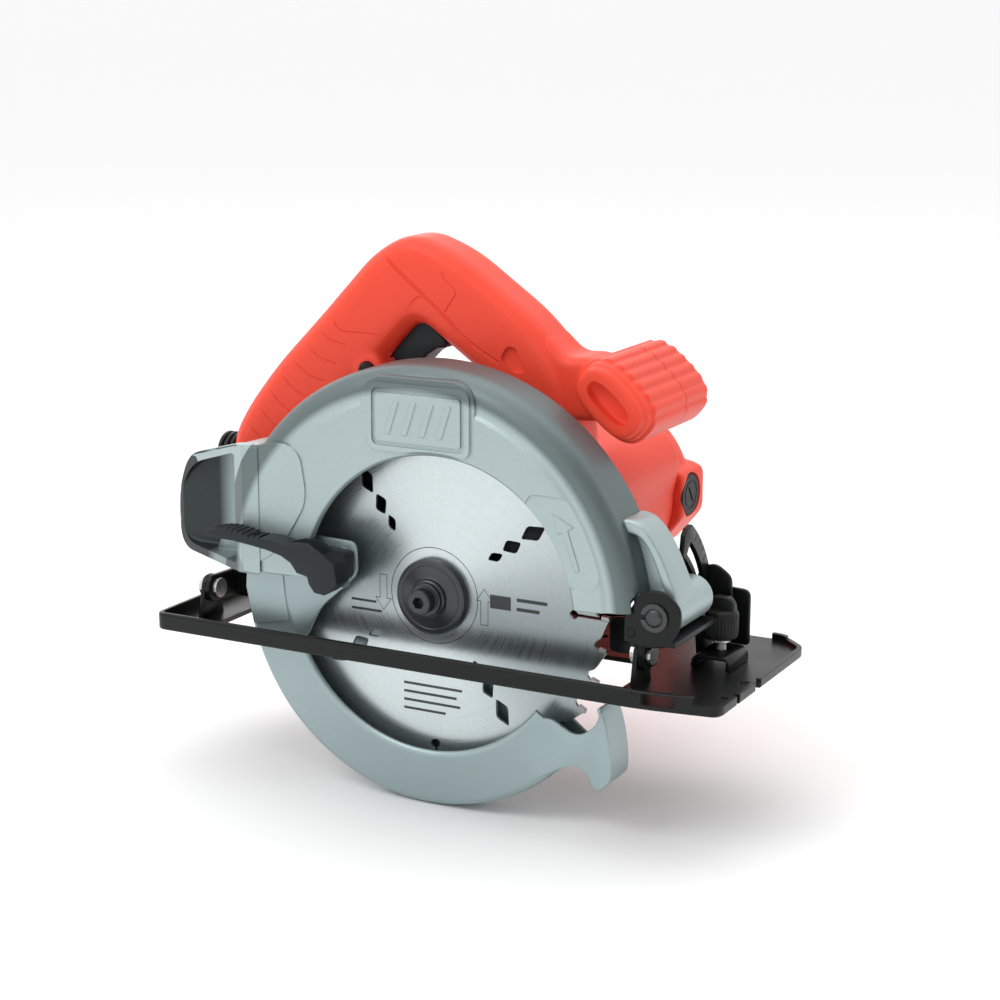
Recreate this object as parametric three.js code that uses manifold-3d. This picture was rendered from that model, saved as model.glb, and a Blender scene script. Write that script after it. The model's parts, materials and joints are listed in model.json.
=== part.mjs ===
// A hand-held electric circular saw with a tilting shoe, millimetres, +Z up, +X the cutting direction.
// Everything is drawn about the blade spindle; the last lines lift it so that the sole lies on z = 0.
import * as THREE from "three";
import { mergeVertices } from "three/addons/utils/BufferGeometryUtils.js";
import Module from "manifold-3d";

const wasm = await Module();
wasm.setup();

// ---------------------------------------------------------------- driving dimensions
const GAP = 0.3; // between pieces that touch
const RUN = 0.35; // radial clearance of a turning fit

const BLADE = { radius: 92, body: 1.6, bore: 8, teeth: 36, toothDepth: 4 };
const CUT_DEPTH = 62;
const SOLE = -(BLADE.radius - CUT_DEPTH); // height of the sole under the spindle
const MOUNT_Y = 52; // from the blade plane to the sole's reference point

const FLANGE = { radius: 18.5, thick: 3.6, outerThick: 4.2, hub: 9 };
const BOLT = { head: 6, reach: 16, hex: 2.6 };
const SPINDLE = { nose: 5, journal: 7.2, collar: 12, seat: 7.8 };
const BEARING = { front: 13, rear: 9, armature: 11, width: 7 };

const GEAR = { module: 1.25, pinion: 9, wheel: 34, near: 22.2, width: 10 };
const GEAR_CENTRES = ((GEAR.pinion + GEAR.wheel) / 2) * GEAR.module;
const MOTOR_ANGLE = (60 * Math.PI) / 180; // direction of the motor axis from the spindle
const MOTOR = { radius: 45, wall: 2.8, start: 45, joint: 148, end: 180 };
const AXIS = { x: GEAR_CENTRES * Math.cos(MOTOR_ANGLE), z: GEAR_CENTRES * Math.sin(MOTOR_ANGLE) };
const BRUSH = { y: 160, cap: 11, holder: 7, wide: 10, high: 7, reach: 49 };
const STACK = { start: 74, end: 122, rotor: 24, airGap: 0.8 };
const COMMUTATOR = { radius: 13, start: 150, end: 169 };
const SHAFT = 4;

const UPPER_CLEAR = 11; // between the two guards' outer radii
const LOWER_CLEAR = 9; // from the blade's teeth to the outside of the lower guard
const LOWER = { radius: BLADE.radius + LOWER_CLEAR, near: -11, far: 8.6, wall: 1.6, inner: 74 };
const HOOK_REACH = 16; // how far the lower guard's front lip stands out of its rim
const UPPER = { radius: LOWER.radius + UPPER_CLEAR, near: -18, far: 13, wall: 2.2, foot: SOLE + 39 };
const ARCH = { x: 10, radius: 71.3 }; // round cut in the near wall that shows the blade
const PAD = { x: 2.5, z: 88, wide: 53, high: 30, proud: 1.2 };
const CHUTE = { top: 66, rearTop: 51, bottom: SOLE + 34, cutNear: -98, cutFar: -157 };
const NOSE = { radius: 21, end: 5, ringSeat: 18.3 };

const HINGE = { x: UPPER.radius + 7, z: SOLE + 38.5, barrel: 10, pin: 4, near: -8, far: 31.5 };
const EAR = { radius: 12.5, farRadius: 9.5, plate: 2.4 };
const BEVEL_Z = SOLE + 17.4; // axis that the saw tilts about
const PIVOT = { radius: 3, disc: 7.5, plate: 2.5, head: 5 };
const TILT_X = { front: HINGE.x - 9.9, rear: -(UPPER.radius + 15.9) }; // tilting pivot plates
const QUADRANT = { x: HINGE.x - 5.5, plate: 2.5, radius: 64, inner: 47.5, slot: 53.5, halfSlot: 3.2 };
const TILT_REST = 5; // angle of the lock bolt above the bevel axis with the saw upright
const TILT_RANGE = 45;
const DEPTH_RANGE = 30;
const LOCK_BOLT = 2.8;

const GUIDE = { pivotX: -68, pivotZ: SOLE + 28, y: 21.3, plate: 2, half: 7.5, halfSlot: 3.1, stud: 2.7 };

const SHOE = { back: -144.7, front: 155, near: -27, far: 96, plate: 2.3, rim: 8.5, frontRim: 4.5, farRim: 5.6, notch: 9 };
const OPENING = { near: -14, far: 33, rearClear: 2, frontClear: 3.6 };
const FENCE = { x: 127, bar: 14, slack: 0.7, top: 7.4, near: 34, far: 58, plate: 2 };
const KNOB = { x: 127, y: 47.5, radius: 8, bottom: SOLE + 15, top: SOLE + 29, ribs: 18 };

const HANDLE = { y: 50, half: 17, wall: 3 };
const GRIP = { x: -19, z: 135, angle: Math.atan2(0.735, 0.678), depth: 38 }; // inner line of the grip
const TRIGGER = { from: 14, to: 42, out: 17, into: 8, half: 8, travel: 5 };
const LOCK_OFF = { x: -56, z: 98, radius: 4.5, boss: 8.5, proud: 2.5 };
const POD = { x: 77, z: 95, a: 21, b: 13.5, tilt: (-42 * Math.PI) / 180, near: 25, far: 104 };
const GLAND = { z: 46, radius: 8.5, hole: 4.2, start: -152, length: 15 };

// ---------------------------------------------------------------- drawing helpers
const degrees = Math.PI / 180;

// Points of a round arc, close enough together for a 0.16 mm chord error.
function arc(cx, cy, r, from, to) {
  const step = 2 * Math.acos(1 - 0.16 / Math.max(r, 1));
  const n = Math.max(2, Math.ceil((Math.abs(to - from) * degrees) / step));
  const points = [];
  for (let i = 0; i <= n; i++) {
    const a = (from + ((to - from) * i) / n) * degrees;
    points.push(new THREE.Vector2(cx + r * Math.cos(a), cy + r * Math.sin(a)));
  }
  return points;
}

const circle = (cx, cy, r) => arc(cx, cy, r, 0, 360).slice(0, -1);

const band = (r0, r1, from, to) => [...arc(0, 0, r1, from, to), ...arc(0, 0, r0, to, from)];

const at = (points, x, y) => points.map((p) => new THREE.Vector2(p.x + x, p.y + y));

// An outline whose corners [x, y, radius] are rounded off.
function rounded(corners) {
  const points = [];
  corners.forEach(([x, y, r = 0], i) => {
    const here = new THREE.Vector2(x, y);
    const before = corners[(i + corners.length - 1) % corners.length];
    const after = corners[(i + 1) % corners.length];
    const a = new THREE.Vector2(before[0], before[1]).sub(here);
    const b = new THREE.Vector2(after[0], after[1]).sub(here);
    const reach = Math.min(r, a.length() * 0.45, b.length() * 0.45);
    if (reach < 0.2) {
      points.push(here);
      return;
    }
    const start = a.setLength(reach).add(here);
    const end = b.setLength(reach).add(here);
    const steps = reach > 12 ? 5 : 3;
    const curve = new THREE.QuadraticBezierCurve(start, here, end);
    points.push(...curve.getPoints(steps));
  });
  return points;
}

// Moves each side of an outline inwards by d, for the hollow inside a moulded wall.
function inset(points, d) {
  const turn = THREE.ShapeUtils.area(points) > 0 ? 1 : -1;
  return points.map((p, i) => {
    const before = points[(i + points.length - 1) % points.length];
    const after = points[(i + 1) % points.length];
    const a = p.clone().sub(before).normalize();
    const b = after.clone().sub(p).normalize();
    const normal = new THREE.Vector2(-(a.y + b.y), a.x + b.x).normalize();
    const widen = Math.max(0.5, normal.x * -a.y + normal.y * a.x);
    return p.clone().addScaledVector(normal, (turn * d) / widen);
  });
}

// Outline round two circles and the two straight sides that touch both.
function belt(x0, y0, r0, x1, y1, r1) {
  const heading = Math.atan2(y1 - y0, x1 - x0) / degrees;
  const open = Math.acos((r0 - r1) / Math.hypot(x1 - x0, y1 - y0)) / degrees;
  return [
    ...arc(x1, y1, r1, heading - open, heading + open),
    ...arc(x0, y0, r0, heading + open, heading + 360 - open),
  ];
}

// A closed geometry as a manifold solid, facing outwards.
function solid(geometry) {
  const bare = geometry.clone();
  for (const name of Object.keys(bare.attributes)) if (name !== "position") bare.deleteAttribute(name);
  const merged = mergeVertices(bare, 1e-4);
  const index = merged.index.array;
  const triangles = [];
  for (let i = 0; i < index.length; i += 3) {
    const [a, b, c] = [index[i], index[i + 1], index[i + 2]];
    if (a !== b && b !== c && c !== a) triangles.push(a, b, c);
  }
  const build = (triVerts) =>
    new wasm.Manifold(
      new wasm.Mesh({ numProp: 3, vertProperties: merged.attributes.position.array, triVerts }),
    );
  const made = build(new Uint32Array(triangles));
  return made.volume() > 0 ? made : build(new Uint32Array(triangles.reverse()));
}

function prism(points, depth, holes = []) {
  const shape = new THREE.Shape(points);
  holes.forEach((hole) => shape.holes.push(new THREE.Path(hole)));
  return new THREE.ExtrudeGeometry(shape, { depth, bevelEnabled: false });
}

// An outline in X and Z, from y0 to y1.
function plateXZ(points, y0, y1, holes) {
  return solid(prism(points, y1 - y0, holes).rotateX(Math.PI / 2).translate(0, y1, 0));
}

// An outline in Y and Z, from x0 to x1.
function plateYZ(points, x0, x1, holes) {
  const turn = new THREE.Matrix4().makeBasis(
    new THREE.Vector3(0, 1, 0),
    new THREE.Vector3(0, 0, 1),
    new THREE.Vector3(1, 0, 0),
  );
  return solid(prism(points, x1 - x0, holes).applyMatrix4(turn).translate(x0, 0, 0));
}

// An outline in X and Y, from z0 to z1.
function plateXY(points, z0, z1, holes) {
  return solid(prism(points, z1 - z0, holes).translate(0, 0, z0));
}

const box = (x0, x1, y0, y1, z0, z1) =>
  solid(
    new THREE.BoxGeometry(x1 - x0, y1 - y0, z1 - z0).translate((x0 + x1) / 2, (y0 + y1) / 2, (z0 + z1) / 2),
  );

const rodY = (r, y0, y1, x = 0, z = 0) => plateXZ(circle(x, z, r), y0, y1);
const rodX = (r, x0, x1, y = 0, z = 0) => plateYZ(circle(y, z, r), x0, x1);
const rodZ = (r, z0, z1, x = 0, y = 0) => plateXY(circle(x, y, r), z0, z1);

const ringY = (r0, r1, y0, y1, x = 0, z = 0) => plateXZ(circle(x, z, r1), y0, y1, [circle(x, z, r0)]);

// A turned shaft along Y: [radius, y] steps from one end of the axis to the other.
function turnedY(steps, segments = 24) {
  const profile = steps.map(([r, y]) => new THREE.Vector2(r, y));
  return solid(new THREE.LatheGeometry(profile, segments));
}

// A coil of round wire about Y.
function coilY(radius, wire, turns, y0, y1) {
  class Helix extends THREE.Curve {
    getPoint(t, target = new THREE.Vector3()) {
      const a = t * turns * 2 * Math.PI;
      return target.set(radius * Math.cos(a), y0 + (y1 - y0) * t, radius * Math.sin(a));
    }
  }
  const section = new THREE.Shape(arc(0, 0, wire, 0, 360).slice(0, -1));
  const steps = Math.ceil(turns * 12);
  return solid(new THREE.ExtrudeGeometry(section, { steps, extrudePath: new Helix() }));
}

// A spur gear's outline with straight-sided teeth.
function gearOutline(teeth, module, turn) {
  const pitch = (teeth * module) / 2;
  const levels = [
    [pitch - 1.15 * module, 0.36],
    [pitch - 0.1 * module, 0.235],
    [pitch + 0.75 * module, 0.12],
  ];
  const points = [];
  for (let i = 0; i < teeth; i++) {
    const spot = (r, share) => {
      const a = turn + ((i + share) * 2 * Math.PI) / teeth;
      points.push(new THREE.Vector2(r * Math.cos(a), r * Math.sin(a)));
    };
    levels.forEach(([r, half]) => spot(r, -half));
    [...levels].reverse().forEach(([r, half]) => spot(r, half));
  }
  return points;
}

// ---------------------------------------------------------------- the scene graph
const FINISH = {
  castSilver: [0xb4babd, 0.7, 0.5],
  darkSteel: [0x2a2c2e, 0.6, 0.45],
  blackPaint: [0x141516, 0.3, 0.35],
  brightSteel: [0xc6c9cb, 0.95, 0.3],
  orange: [0xf04e2e, 0.0, 0.5],
  greyPlastic: [0x3c4144, 0.0, 0.6],
  blackPlastic: [0x1b1c1d, 0.0, 0.55],
  copper: [0xb4693a, 0.9, 0.4],
  carbon: [0x222222, 0.1, 0.8],
};

const saw = new THREE.Group();
const shoeGroup = new THREE.Group();
const tiltGroup = new THREE.Group();
const bodyGroup = new THREE.Group();
const motorGroup = new THREE.Group(); // drawn about the motor axis
const bladeGroup = new THREE.Group();
const guardGroup = new THREE.Group();
motorGroup.position.set(AXIS.x, 0, AXIS.z);
saw.add(shoeGroup, tiltGroup, bodyGroup, motorGroup, bladeGroup, guardGroup);

// Adds a solid to a group as a named mesh with its own material.
function piece(group, name, made, finish) {
  const data = made.getMesh();
  const geometry = new THREE.BufferGeometry();
  geometry.setAttribute("position", new THREE.BufferAttribute(data.vertProperties, 3));
  geometry.setIndex(new THREE.BufferAttribute(data.triVerts, 1));
  const [color, metalness, roughness] = FINISH[finish];
  const mesh = new THREE.Mesh(geometry, new THREE.MeshStandardMaterial({ color, metalness, roughness }));
  mesh.name = name;
  group.add(mesh);
  return mesh;
}

const join = (first, ...others) => others.reduce((sum, next) => sum.add(next), first);
const cut = (first, ...others) => others.reduce((rest, next) => rest.subtract(next), first);

// ---------------------------------------------------------------- sizes of the gear case, which the shoe clears
const caseFront = UPPER.far + GAP;
const caseWall = 2.2;
const caseRadius = (GEAR.wheel * GEAR.module) / 2 + GEAR.module + 2.6;
const caseMotor = MOTOR.radius - 4;
const caseEnd = MOTOR.start - GAP;
const CASE_CLEAR = 2.5;

// Room for the gear case, with a clearance all round.
const caseRoom = (clear, end) =>
  plateXZ(belt(0, 0, caseRadius + clear, AXIS.x, AXIS.z, caseMotor + clear), caseFront, end);

// ---------------------------------------------------------------- shoe
const openingBack = -(LOWER.radius + HOOK_REACH + OPENING.rearClear);
const openingFront = Math.sqrt(LOWER.radius ** 2 - SOLE ** 2) + OPENING.frontClear;
const tabFront = TILT_X.front - 0.6 - PIVOT.plate;
const tabRear = TILT_X.rear - 0.6 - PIVOT.plate;

function shoeOutline() {
  return rounded([
    [SHOE.back, SHOE.near, 4],
    [HINGE.x, SHOE.near, 8],
    [SHOE.front - 2, SHOE.near + 5, 3],
    [SHOE.front, SHOE.near + 8, 2],
    [SHOE.front, SHOE.far - 13, 3],
    [SHOE.front - 14, SHOE.far, 3],
    [SHOE.back, SHOE.far, 4],
  ]);
}

// Upright lug with a round head on the bevel axis.
function pivotLug(x0, bottom, top = BEVEL_Z) {
  const lug = rounded([
    [-PIVOT.disc, bottom],
    [PIVOT.disc, bottom],
    [PIVOT.disc, top],
    [-PIVOT.disc, top],
  ]);
  const body = join(plateYZ(lug, x0, x0 + PIVOT.plate), rodX(PIVOT.disc, x0, x0 + PIVOT.plate, 0, BEVEL_Z));
  return cut(body, rodX(PIVOT.radius + RUN, x0 - 1, x0 + PIVOT.plate + 1, 0, BEVEL_Z));
}

function makeShoe() {
  const outline = shoeOutline();
  const rimTop = SOLE + SHOE.rim;
  const plateTop = SOLE + SHOE.plate;
  const slotHalf = FENCE.bar / 2 + FENCE.slack;
  const notch = (y, wide) => box(SHOE.front - SHOE.notch, SHOE.front + 1, y - wide / 2, y + wide / 2, SOLE - 1, rimTop);
  const shoe = cut(
    plateXY(outline, SOLE, rimTop),
    plateXY(inset(outline, SHOE.plate), plateTop, rimTop + 1),
    box(openingBack, openingFront, OPENING.near, OPENING.far, SOLE - 1, rimTop),
    box(SHOE.front - 12, SHOE.front + 1, SHOE.near - 1, SHOE.far + 1, SOLE + SHOE.frontRim, rimTop + 1),
    box(SHOE.back - 1, SHOE.front + 1, SHOE.far - 8, SHOE.far + 1, SOLE + SHOE.farRim, rimTop + 1),
    box(FENCE.x - slotHalf, FENCE.x + slotHalf, SHOE.near - 1, SHOE.near + 9, plateTop, rimTop - 1),
    box(FENCE.x - slotHalf, FENCE.x + slotHalf, SHOE.far - 9, SHOE.far + 1, plateTop, rimTop - 1),
    notch(0, 3),
    notch(24, 6),
    caseRoom(CASE_CLEAR, caseEnd + CASE_CLEAR),
    rodY(MOTOR.radius + CASE_CLEAR, MOTOR.start, SHOE.far + 1, AXIS.x, AXIS.z),
  );
  return join(shoe, pivotLug(tabFront, plateTop - 0.5), pivotLug(tabRear, plateTop - 0.5));
}
piece(shoeGroup, "shoe", makeShoe(), "blackPaint");

function makePivotPin(tab, tilt) {
  const inner = Math.min(tab, tilt) - GAP - 2;
  const outer = Math.max(tab, tilt) + PIVOT.plate + GAP + 2;
  return join(
    rodX(PIVOT.radius, inner, outer, 0, BEVEL_Z),
    rodX(PIVOT.head, inner, inner + 2, 0, BEVEL_Z),
    rodX(PIVOT.head, outer - 2, outer, 0, BEVEL_Z),
  );
}
piece(shoeGroup, "front_pivot_pin", makePivotPin(tabFront, TILT_X.front), "brightSteel");
piece(shoeGroup, "rear_pivot_pin", makePivotPin(tabRear, TILT_X.rear), "brightSteel");

// Arc plate that shows and locks the bevel angle, with a side wing folded forwards.
function makeQuadrant() {
  const top = QUADRANT.radius;
  const foot = SOLE + SHOE.plate + GAP - BEVEL_Z;
  const outline = [
    ...arc(0, 0, top, -9, 56),
    ...rounded([
      [top * 0.545, top * 0.85, 0],
      [28, 50.6, 0],
    ]),
    ...arc(0, 0, QUADRANT.inner, 58.5, -4),
    new THREE.Vector2(QUADRANT.inner + 2, foot),
    new THREE.Vector2(top, foot),
  ];
  const slotEnd = (LOCK_BOLT + 1) / QUADRANT.slot / degrees;
  const slot = band(
    QUADRANT.slot - QUADRANT.halfSlot,
    QUADRANT.slot + QUADRANT.halfSlot,
    TILT_REST - slotEnd,
    TILT_REST + TILT_RANGE + slotEnd,
  );
  const plate = plateYZ(at(outline, 0, BEVEL_Z), QUADRANT.x, QUADRANT.x + QUADRANT.plate, [
    at(slot, 0, BEVEL_Z),
  ]);
  const barTop = SOLE + FENCE.top + FENCE.plate;
  const wing = rounded([
    [QUADRANT.x + 0.5, barTop - 2, 0],
    [135, barTop - 2, 2],
    [135, SOLE + 35, 6],
    [QUADRANT.x + 0.5, SOLE + 35, 0],
  ]);
  return join(plate, plateXZ(wing, top - 2.3, top));
}
piece(shoeGroup, "bevel_quadrant", makeQuadrant(), "blackPaint");

// Bridge over the rip fence's bar.
function makeBridge() {
  const inner = FENCE.bar / 2 + FENCE.slack;
  const outer = inner + FENCE.plate;
  const floor = SOLE + SHOE.plate + GAP;
  const top = SOLE + FENCE.top + FENCE.plate;
  return cut(
    box(FENCE.x - outer, FENCE.x + outer, FENCE.near, FENCE.far, floor, top),
    box(FENCE.x - inner, FENCE.x + inner, FENCE.near - 1, FENCE.far + 1, floor - 1, top - FENCE.plate),
    rodZ(3, floor, top + 1, KNOB.x, KNOB.y),
  );
}
piece(shoeGroup, "fence_bridge", makeBridge(), "blackPaint");

function makeKnob() {
  const outline = [];
  for (let i = 0; i < KNOB.ribs * 2; i++) {
    const a = (i * Math.PI) / KNOB.ribs;
    const r = i % 2 ? KNOB.radius : KNOB.radius - 0.7;
    outline.push(new THREE.Vector2(KNOB.x + r * Math.cos(a), KNOB.y + r * Math.sin(a)));
  }
  const wing = rounded([
    [KNOB.x - KNOB.radius + 1, KNOB.top - 2, 0],
    [KNOB.x + KNOB.radius - 1, KNOB.top - 2, 0],
    [KNOB.x + KNOB.radius - 2, KNOB.top + 6, 3],
    [KNOB.x - KNOB.radius + 2, KNOB.top + 6, 3],
  ]);
  return cut(
    join(plateXY(outline, KNOB.bottom, KNOB.top), plateXZ(wing, KNOB.y - 2, KNOB.y + 2)),
    rodZ(2.9, KNOB.bottom - 1, KNOB.top - 4, KNOB.x, KNOB.y),
  );
}
piece(shoeGroup, "fence_knob", makeKnob(), "blackPlastic");

function makeFenceScrew() {
  const tip = SOLE + FENCE.top + 0.4;
  return join(
    rodZ(2.6, tip, KNOB.top - 4 - GAP, KNOB.x, KNOB.y),
    rodZ(4.2, KNOB.bottom - 2, KNOB.bottom - GAP, KNOB.x, KNOB.y),
  );
}
piece(shoeGroup, "fence_screw", makeFenceScrew(), "brightSteel");

// ---------------------------------------------------------------- tilting frame
const earNear = HINGE.near - 1.6;
const earFar = HINGE.far + 1.4;
const webTop = HINGE.z - HINGE.barrel - 0.5;
const webBottom = webTop - EAR.plate;
const lockBoltY = QUADRANT.slot * Math.cos(TILT_REST * degrees);
const lockBoltZ = BEVEL_Z + QUADRANT.slot * Math.sin(TILT_REST * degrees);

function makeFrontBracket() {
  const lobe = [
    [LOWER.radius + 2.8, HINGE.z - 1.5, 3],
    [LOWER.radius + 2.8, webBottom, 0],
    [HINGE.x + 10, webBottom, 0],
    [HINGE.x + EAR.radius - 0.5, HINGE.z - 3, 2],
    [HINGE.x, HINGE.z + 8, 0],
  ];
  const cheek = [
    [TILT_X.front, webTop + 5, 0],
    [TILT_X.front, webBottom, 0],
    [HINGE.x + 10, webBottom, 0],
    [HINGE.x + EAR.farRadius - 0.5, HINGE.z - 3, 2],
    [HINGE.x, HINGE.z + 4, 0],
  ];
  const back = TILT_X.front + PIVOT.plate;
  const arm = [
    [earFar, webBottom, 0],
    [earFar, webTop + 4, 0],
    [lockBoltY + 5, lockBoltZ + 7, 4],
    [lockBoltY + 5, lockBoltZ - 6, 4],
    [lockBoltY - 6, lockBoltZ - 6, 3],
  ];
  return cut(
    join(
      plateXZ(rounded(lobe), earNear - EAR.plate, earNear),
      rodY(EAR.radius, earNear - EAR.plate, earNear, HINGE.x, HINGE.z),
      plateXZ(rounded(cheek), earFar, earFar + EAR.plate),
      rodY(EAR.farRadius, earFar, earFar + EAR.plate, HINGE.x, HINGE.z),
      box(TILT_X.front, HINGE.x + 10, earNear - EAR.plate, earFar + EAR.plate, webBottom, webTop),
      pivotLug(TILT_X.front, BEVEL_Z, webTop - 0.2),
      plateYZ(rounded(arm), TILT_X.front, back),
    ),
    rodY(HINGE.pin + RUN, earNear - 5, earFar + 5, HINGE.x, HINGE.z),
    rodX(LOCK_BOLT + GAP, TILT_X.front - 1, back + 1, lockBoltY, lockBoltZ),
    rodX(PIVOT.radius + RUN, TILT_X.front - 1, back + 1, 0, BEVEL_Z),
  );
}
piece(tiltGroup, "front_bracket", makeFrontBracket(), "blackPaint");

const pinNear = earNear - EAR.plate - 2.6;
const pinFar = earFar + EAR.plate + GAP;
function makeHingePin() {
  return join(
    rodY(HINGE.pin, pinNear, pinFar + 1, HINGE.x, HINGE.z),
    rodY(HINGE.pin + 2.4, pinFar, pinFar + 2.2, HINGE.x, HINGE.z),
  );
}
piece(tiltGroup, "depth_hinge_pin", makeHingePin(), "darkSteel");

function makeCirclip() {
  const front = earNear - EAR.plate - GAP;
  const gap = box(HINGE.x - 8, HINGE.x - 3, front - 2, front + 1, HINGE.z - 1.2, HINGE.z + 1.2);
  return cut(ringY(HINGE.pin + GAP, HINGE.pin + 2.6, front - 1.1, front, HINGE.x, HINGE.z), gap);
}
piece(tiltGroup, "hinge_circlip", makeCirclip(), "darkSteel");

const guideRadius = Math.hypot(GUIDE.pivotX - HINGE.x, GUIDE.pivotZ - HINGE.z);
const guideAngle = Math.atan2(GUIDE.pivotZ - HINGE.z, GUIDE.pivotX - HINGE.x) / degrees + 360;
const armNear = GUIDE.y - 2.7;

function makeRearBracket() {
  const arm = rounded([
    [TILT_X.rear, BEVEL_Z - 9, 0],
    [GUIDE.pivotX + 10, BEVEL_Z - 9, 4],
    [GUIDE.pivotX + 10, GUIDE.pivotZ - 6, 3],
    [GUIDE.pivotX - 20, GUIDE.pivotZ - 6, 3],
    [TILT_X.rear + 14, BEVEL_Z + 5, 4],
    [TILT_X.rear, BEVEL_Z + 5, 0],
  ]);
  const cross = rounded([
    [0, BEVEL_Z - 7, 0],
    [armNear + 2.4, BEVEL_Z - 9, 0],
    [armNear + 2.4, BEVEL_Z + 5, 0],
    [0, BEVEL_Z + 7, 0],
  ]);
  return cut(
    join(
      plateXZ(arm, armNear, armNear + 2.4),
      plateYZ(cross, TILT_X.rear, TILT_X.rear + PIVOT.plate),
      rodX(PIVOT.disc, TILT_X.rear, TILT_X.rear + PIVOT.plate, 0, BEVEL_Z),
    ),
    rodX(PIVOT.radius + RUN, TILT_X.rear - 1, TILT_X.rear + PIVOT.plate + 1, 0, BEVEL_Z),
  );
}
piece(tiltGroup, "rear_bracket", makeRearBracket(), "blackPaint");

// Slotted arc about the depth hinge.
function makeDepthGuide() {
  const slack = (GUIDE.stud + 1) / guideRadius / degrees;
  const from = guideAngle - DEPTH_RANGE;
  const outer = band(guideRadius - GUIDE.half, guideRadius + GUIDE.half, from - 2.6, guideAngle + 5.4);
  const slot = band(
    guideRadius - GUIDE.halfSlot,
    guideRadius + GUIDE.halfSlot,
    from - slack,
    guideAngle + slack,
  );
  return plateXZ(at(outer, HINGE.x, HINGE.z), GUIDE.y, GUIDE.y + GUIDE.plate, [
    at(slot, HINGE.x, HINGE.z),
  ]);
}
piece(tiltGroup, "depth_guide", makeDepthGuide(), "blackPaint");

function makeBevelBolt() {
  const front = QUADRANT.x + QUADRANT.plate + GAP;
  const back = TILT_X.front - 8;
  return join(
    rodX(LOCK_BOLT, back, front + 1, lockBoltY, lockBoltZ),
    rodX(LOCK_BOLT + 2.6, front, front + 2, lockBoltY, lockBoltZ),
  );
}
piece(tiltGroup, "bevel_lock_bolt", makeBevelBolt(), "brightSteel");

function makeBevelLever() {
  const right = TILT_X.front - GAP;
  const arm = rounded([
    [lockBoltY, lockBoltZ - 5, 0],
    [lockBoltY + 34, lockBoltZ - 1, 3],
    [lockBoltY + 34, lockBoltZ + 7, 3],
    [lockBoltY, lockBoltZ + 5, 0],
  ]);
  return cut(
    join(rodX(7, right - 8, right, lockBoltY, lockBoltZ), plateYZ(arm, right - 8, right - 3)),
    rodX(LOCK_BOLT + GAP, right - 9, right + 1, lockBoltY, lockBoltZ),
  );
}
piece(tiltGroup, "bevel_lock_lever", makeBevelLever(), "blackPlastic");

// ---------------------------------------------------------------- upper guard casting
const rimIn = UPPER.radius - UPPER.wall;
const footAngle = Math.asin(UPPER.foot / UPPER.radius) / degrees;
const chuteAngle = 144;
const chuteTopX = UPPER.radius * Math.cos(chuteAngle * degrees);

function chuteSide(grow) {
  return rounded([
    [chuteTopX + 8, CHUTE.top - grow, 0],
    [chuteTopX - 6, CHUTE.top - grow, 6],
    [CHUTE.cutFar + 12 - grow, CHUTE.rearTop - grow, 6],
    [CHUTE.cutFar - 1, CHUTE.bottom + 24, 10],
    [CHUTE.cutFar + 3, CHUTE.bottom + grow, 9],
    [chuteTopX + 8, CHUTE.bottom + grow, 0],
  ]);
}

// The wedge behind the chute's oblique mouth.
function chuteMouth() {
  return plateXY(
    [
      [CHUTE.cutFar, UPPER.far + 1],
      [CHUTE.cutFar - 30, UPPER.far + 1],
      [CHUTE.cutFar - 30, UPPER.near - 1],
      [CHUTE.cutNear, UPPER.near - 1],
    ].map(([x, y]) => new THREE.Vector2(x, y)),
    CHUTE.bottom - 10,
    CHUTE.top + 10,
  );
}

// Half-round side of the guard: everything above the foot line.
function guardSide(radius) {
  const rear = Math.asin(CHUTE.bottom / radius) / degrees;
  return arc(0, 0, radius, Math.asin(UPPER.foot / radius) / degrees, 180 - rear);
}

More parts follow.
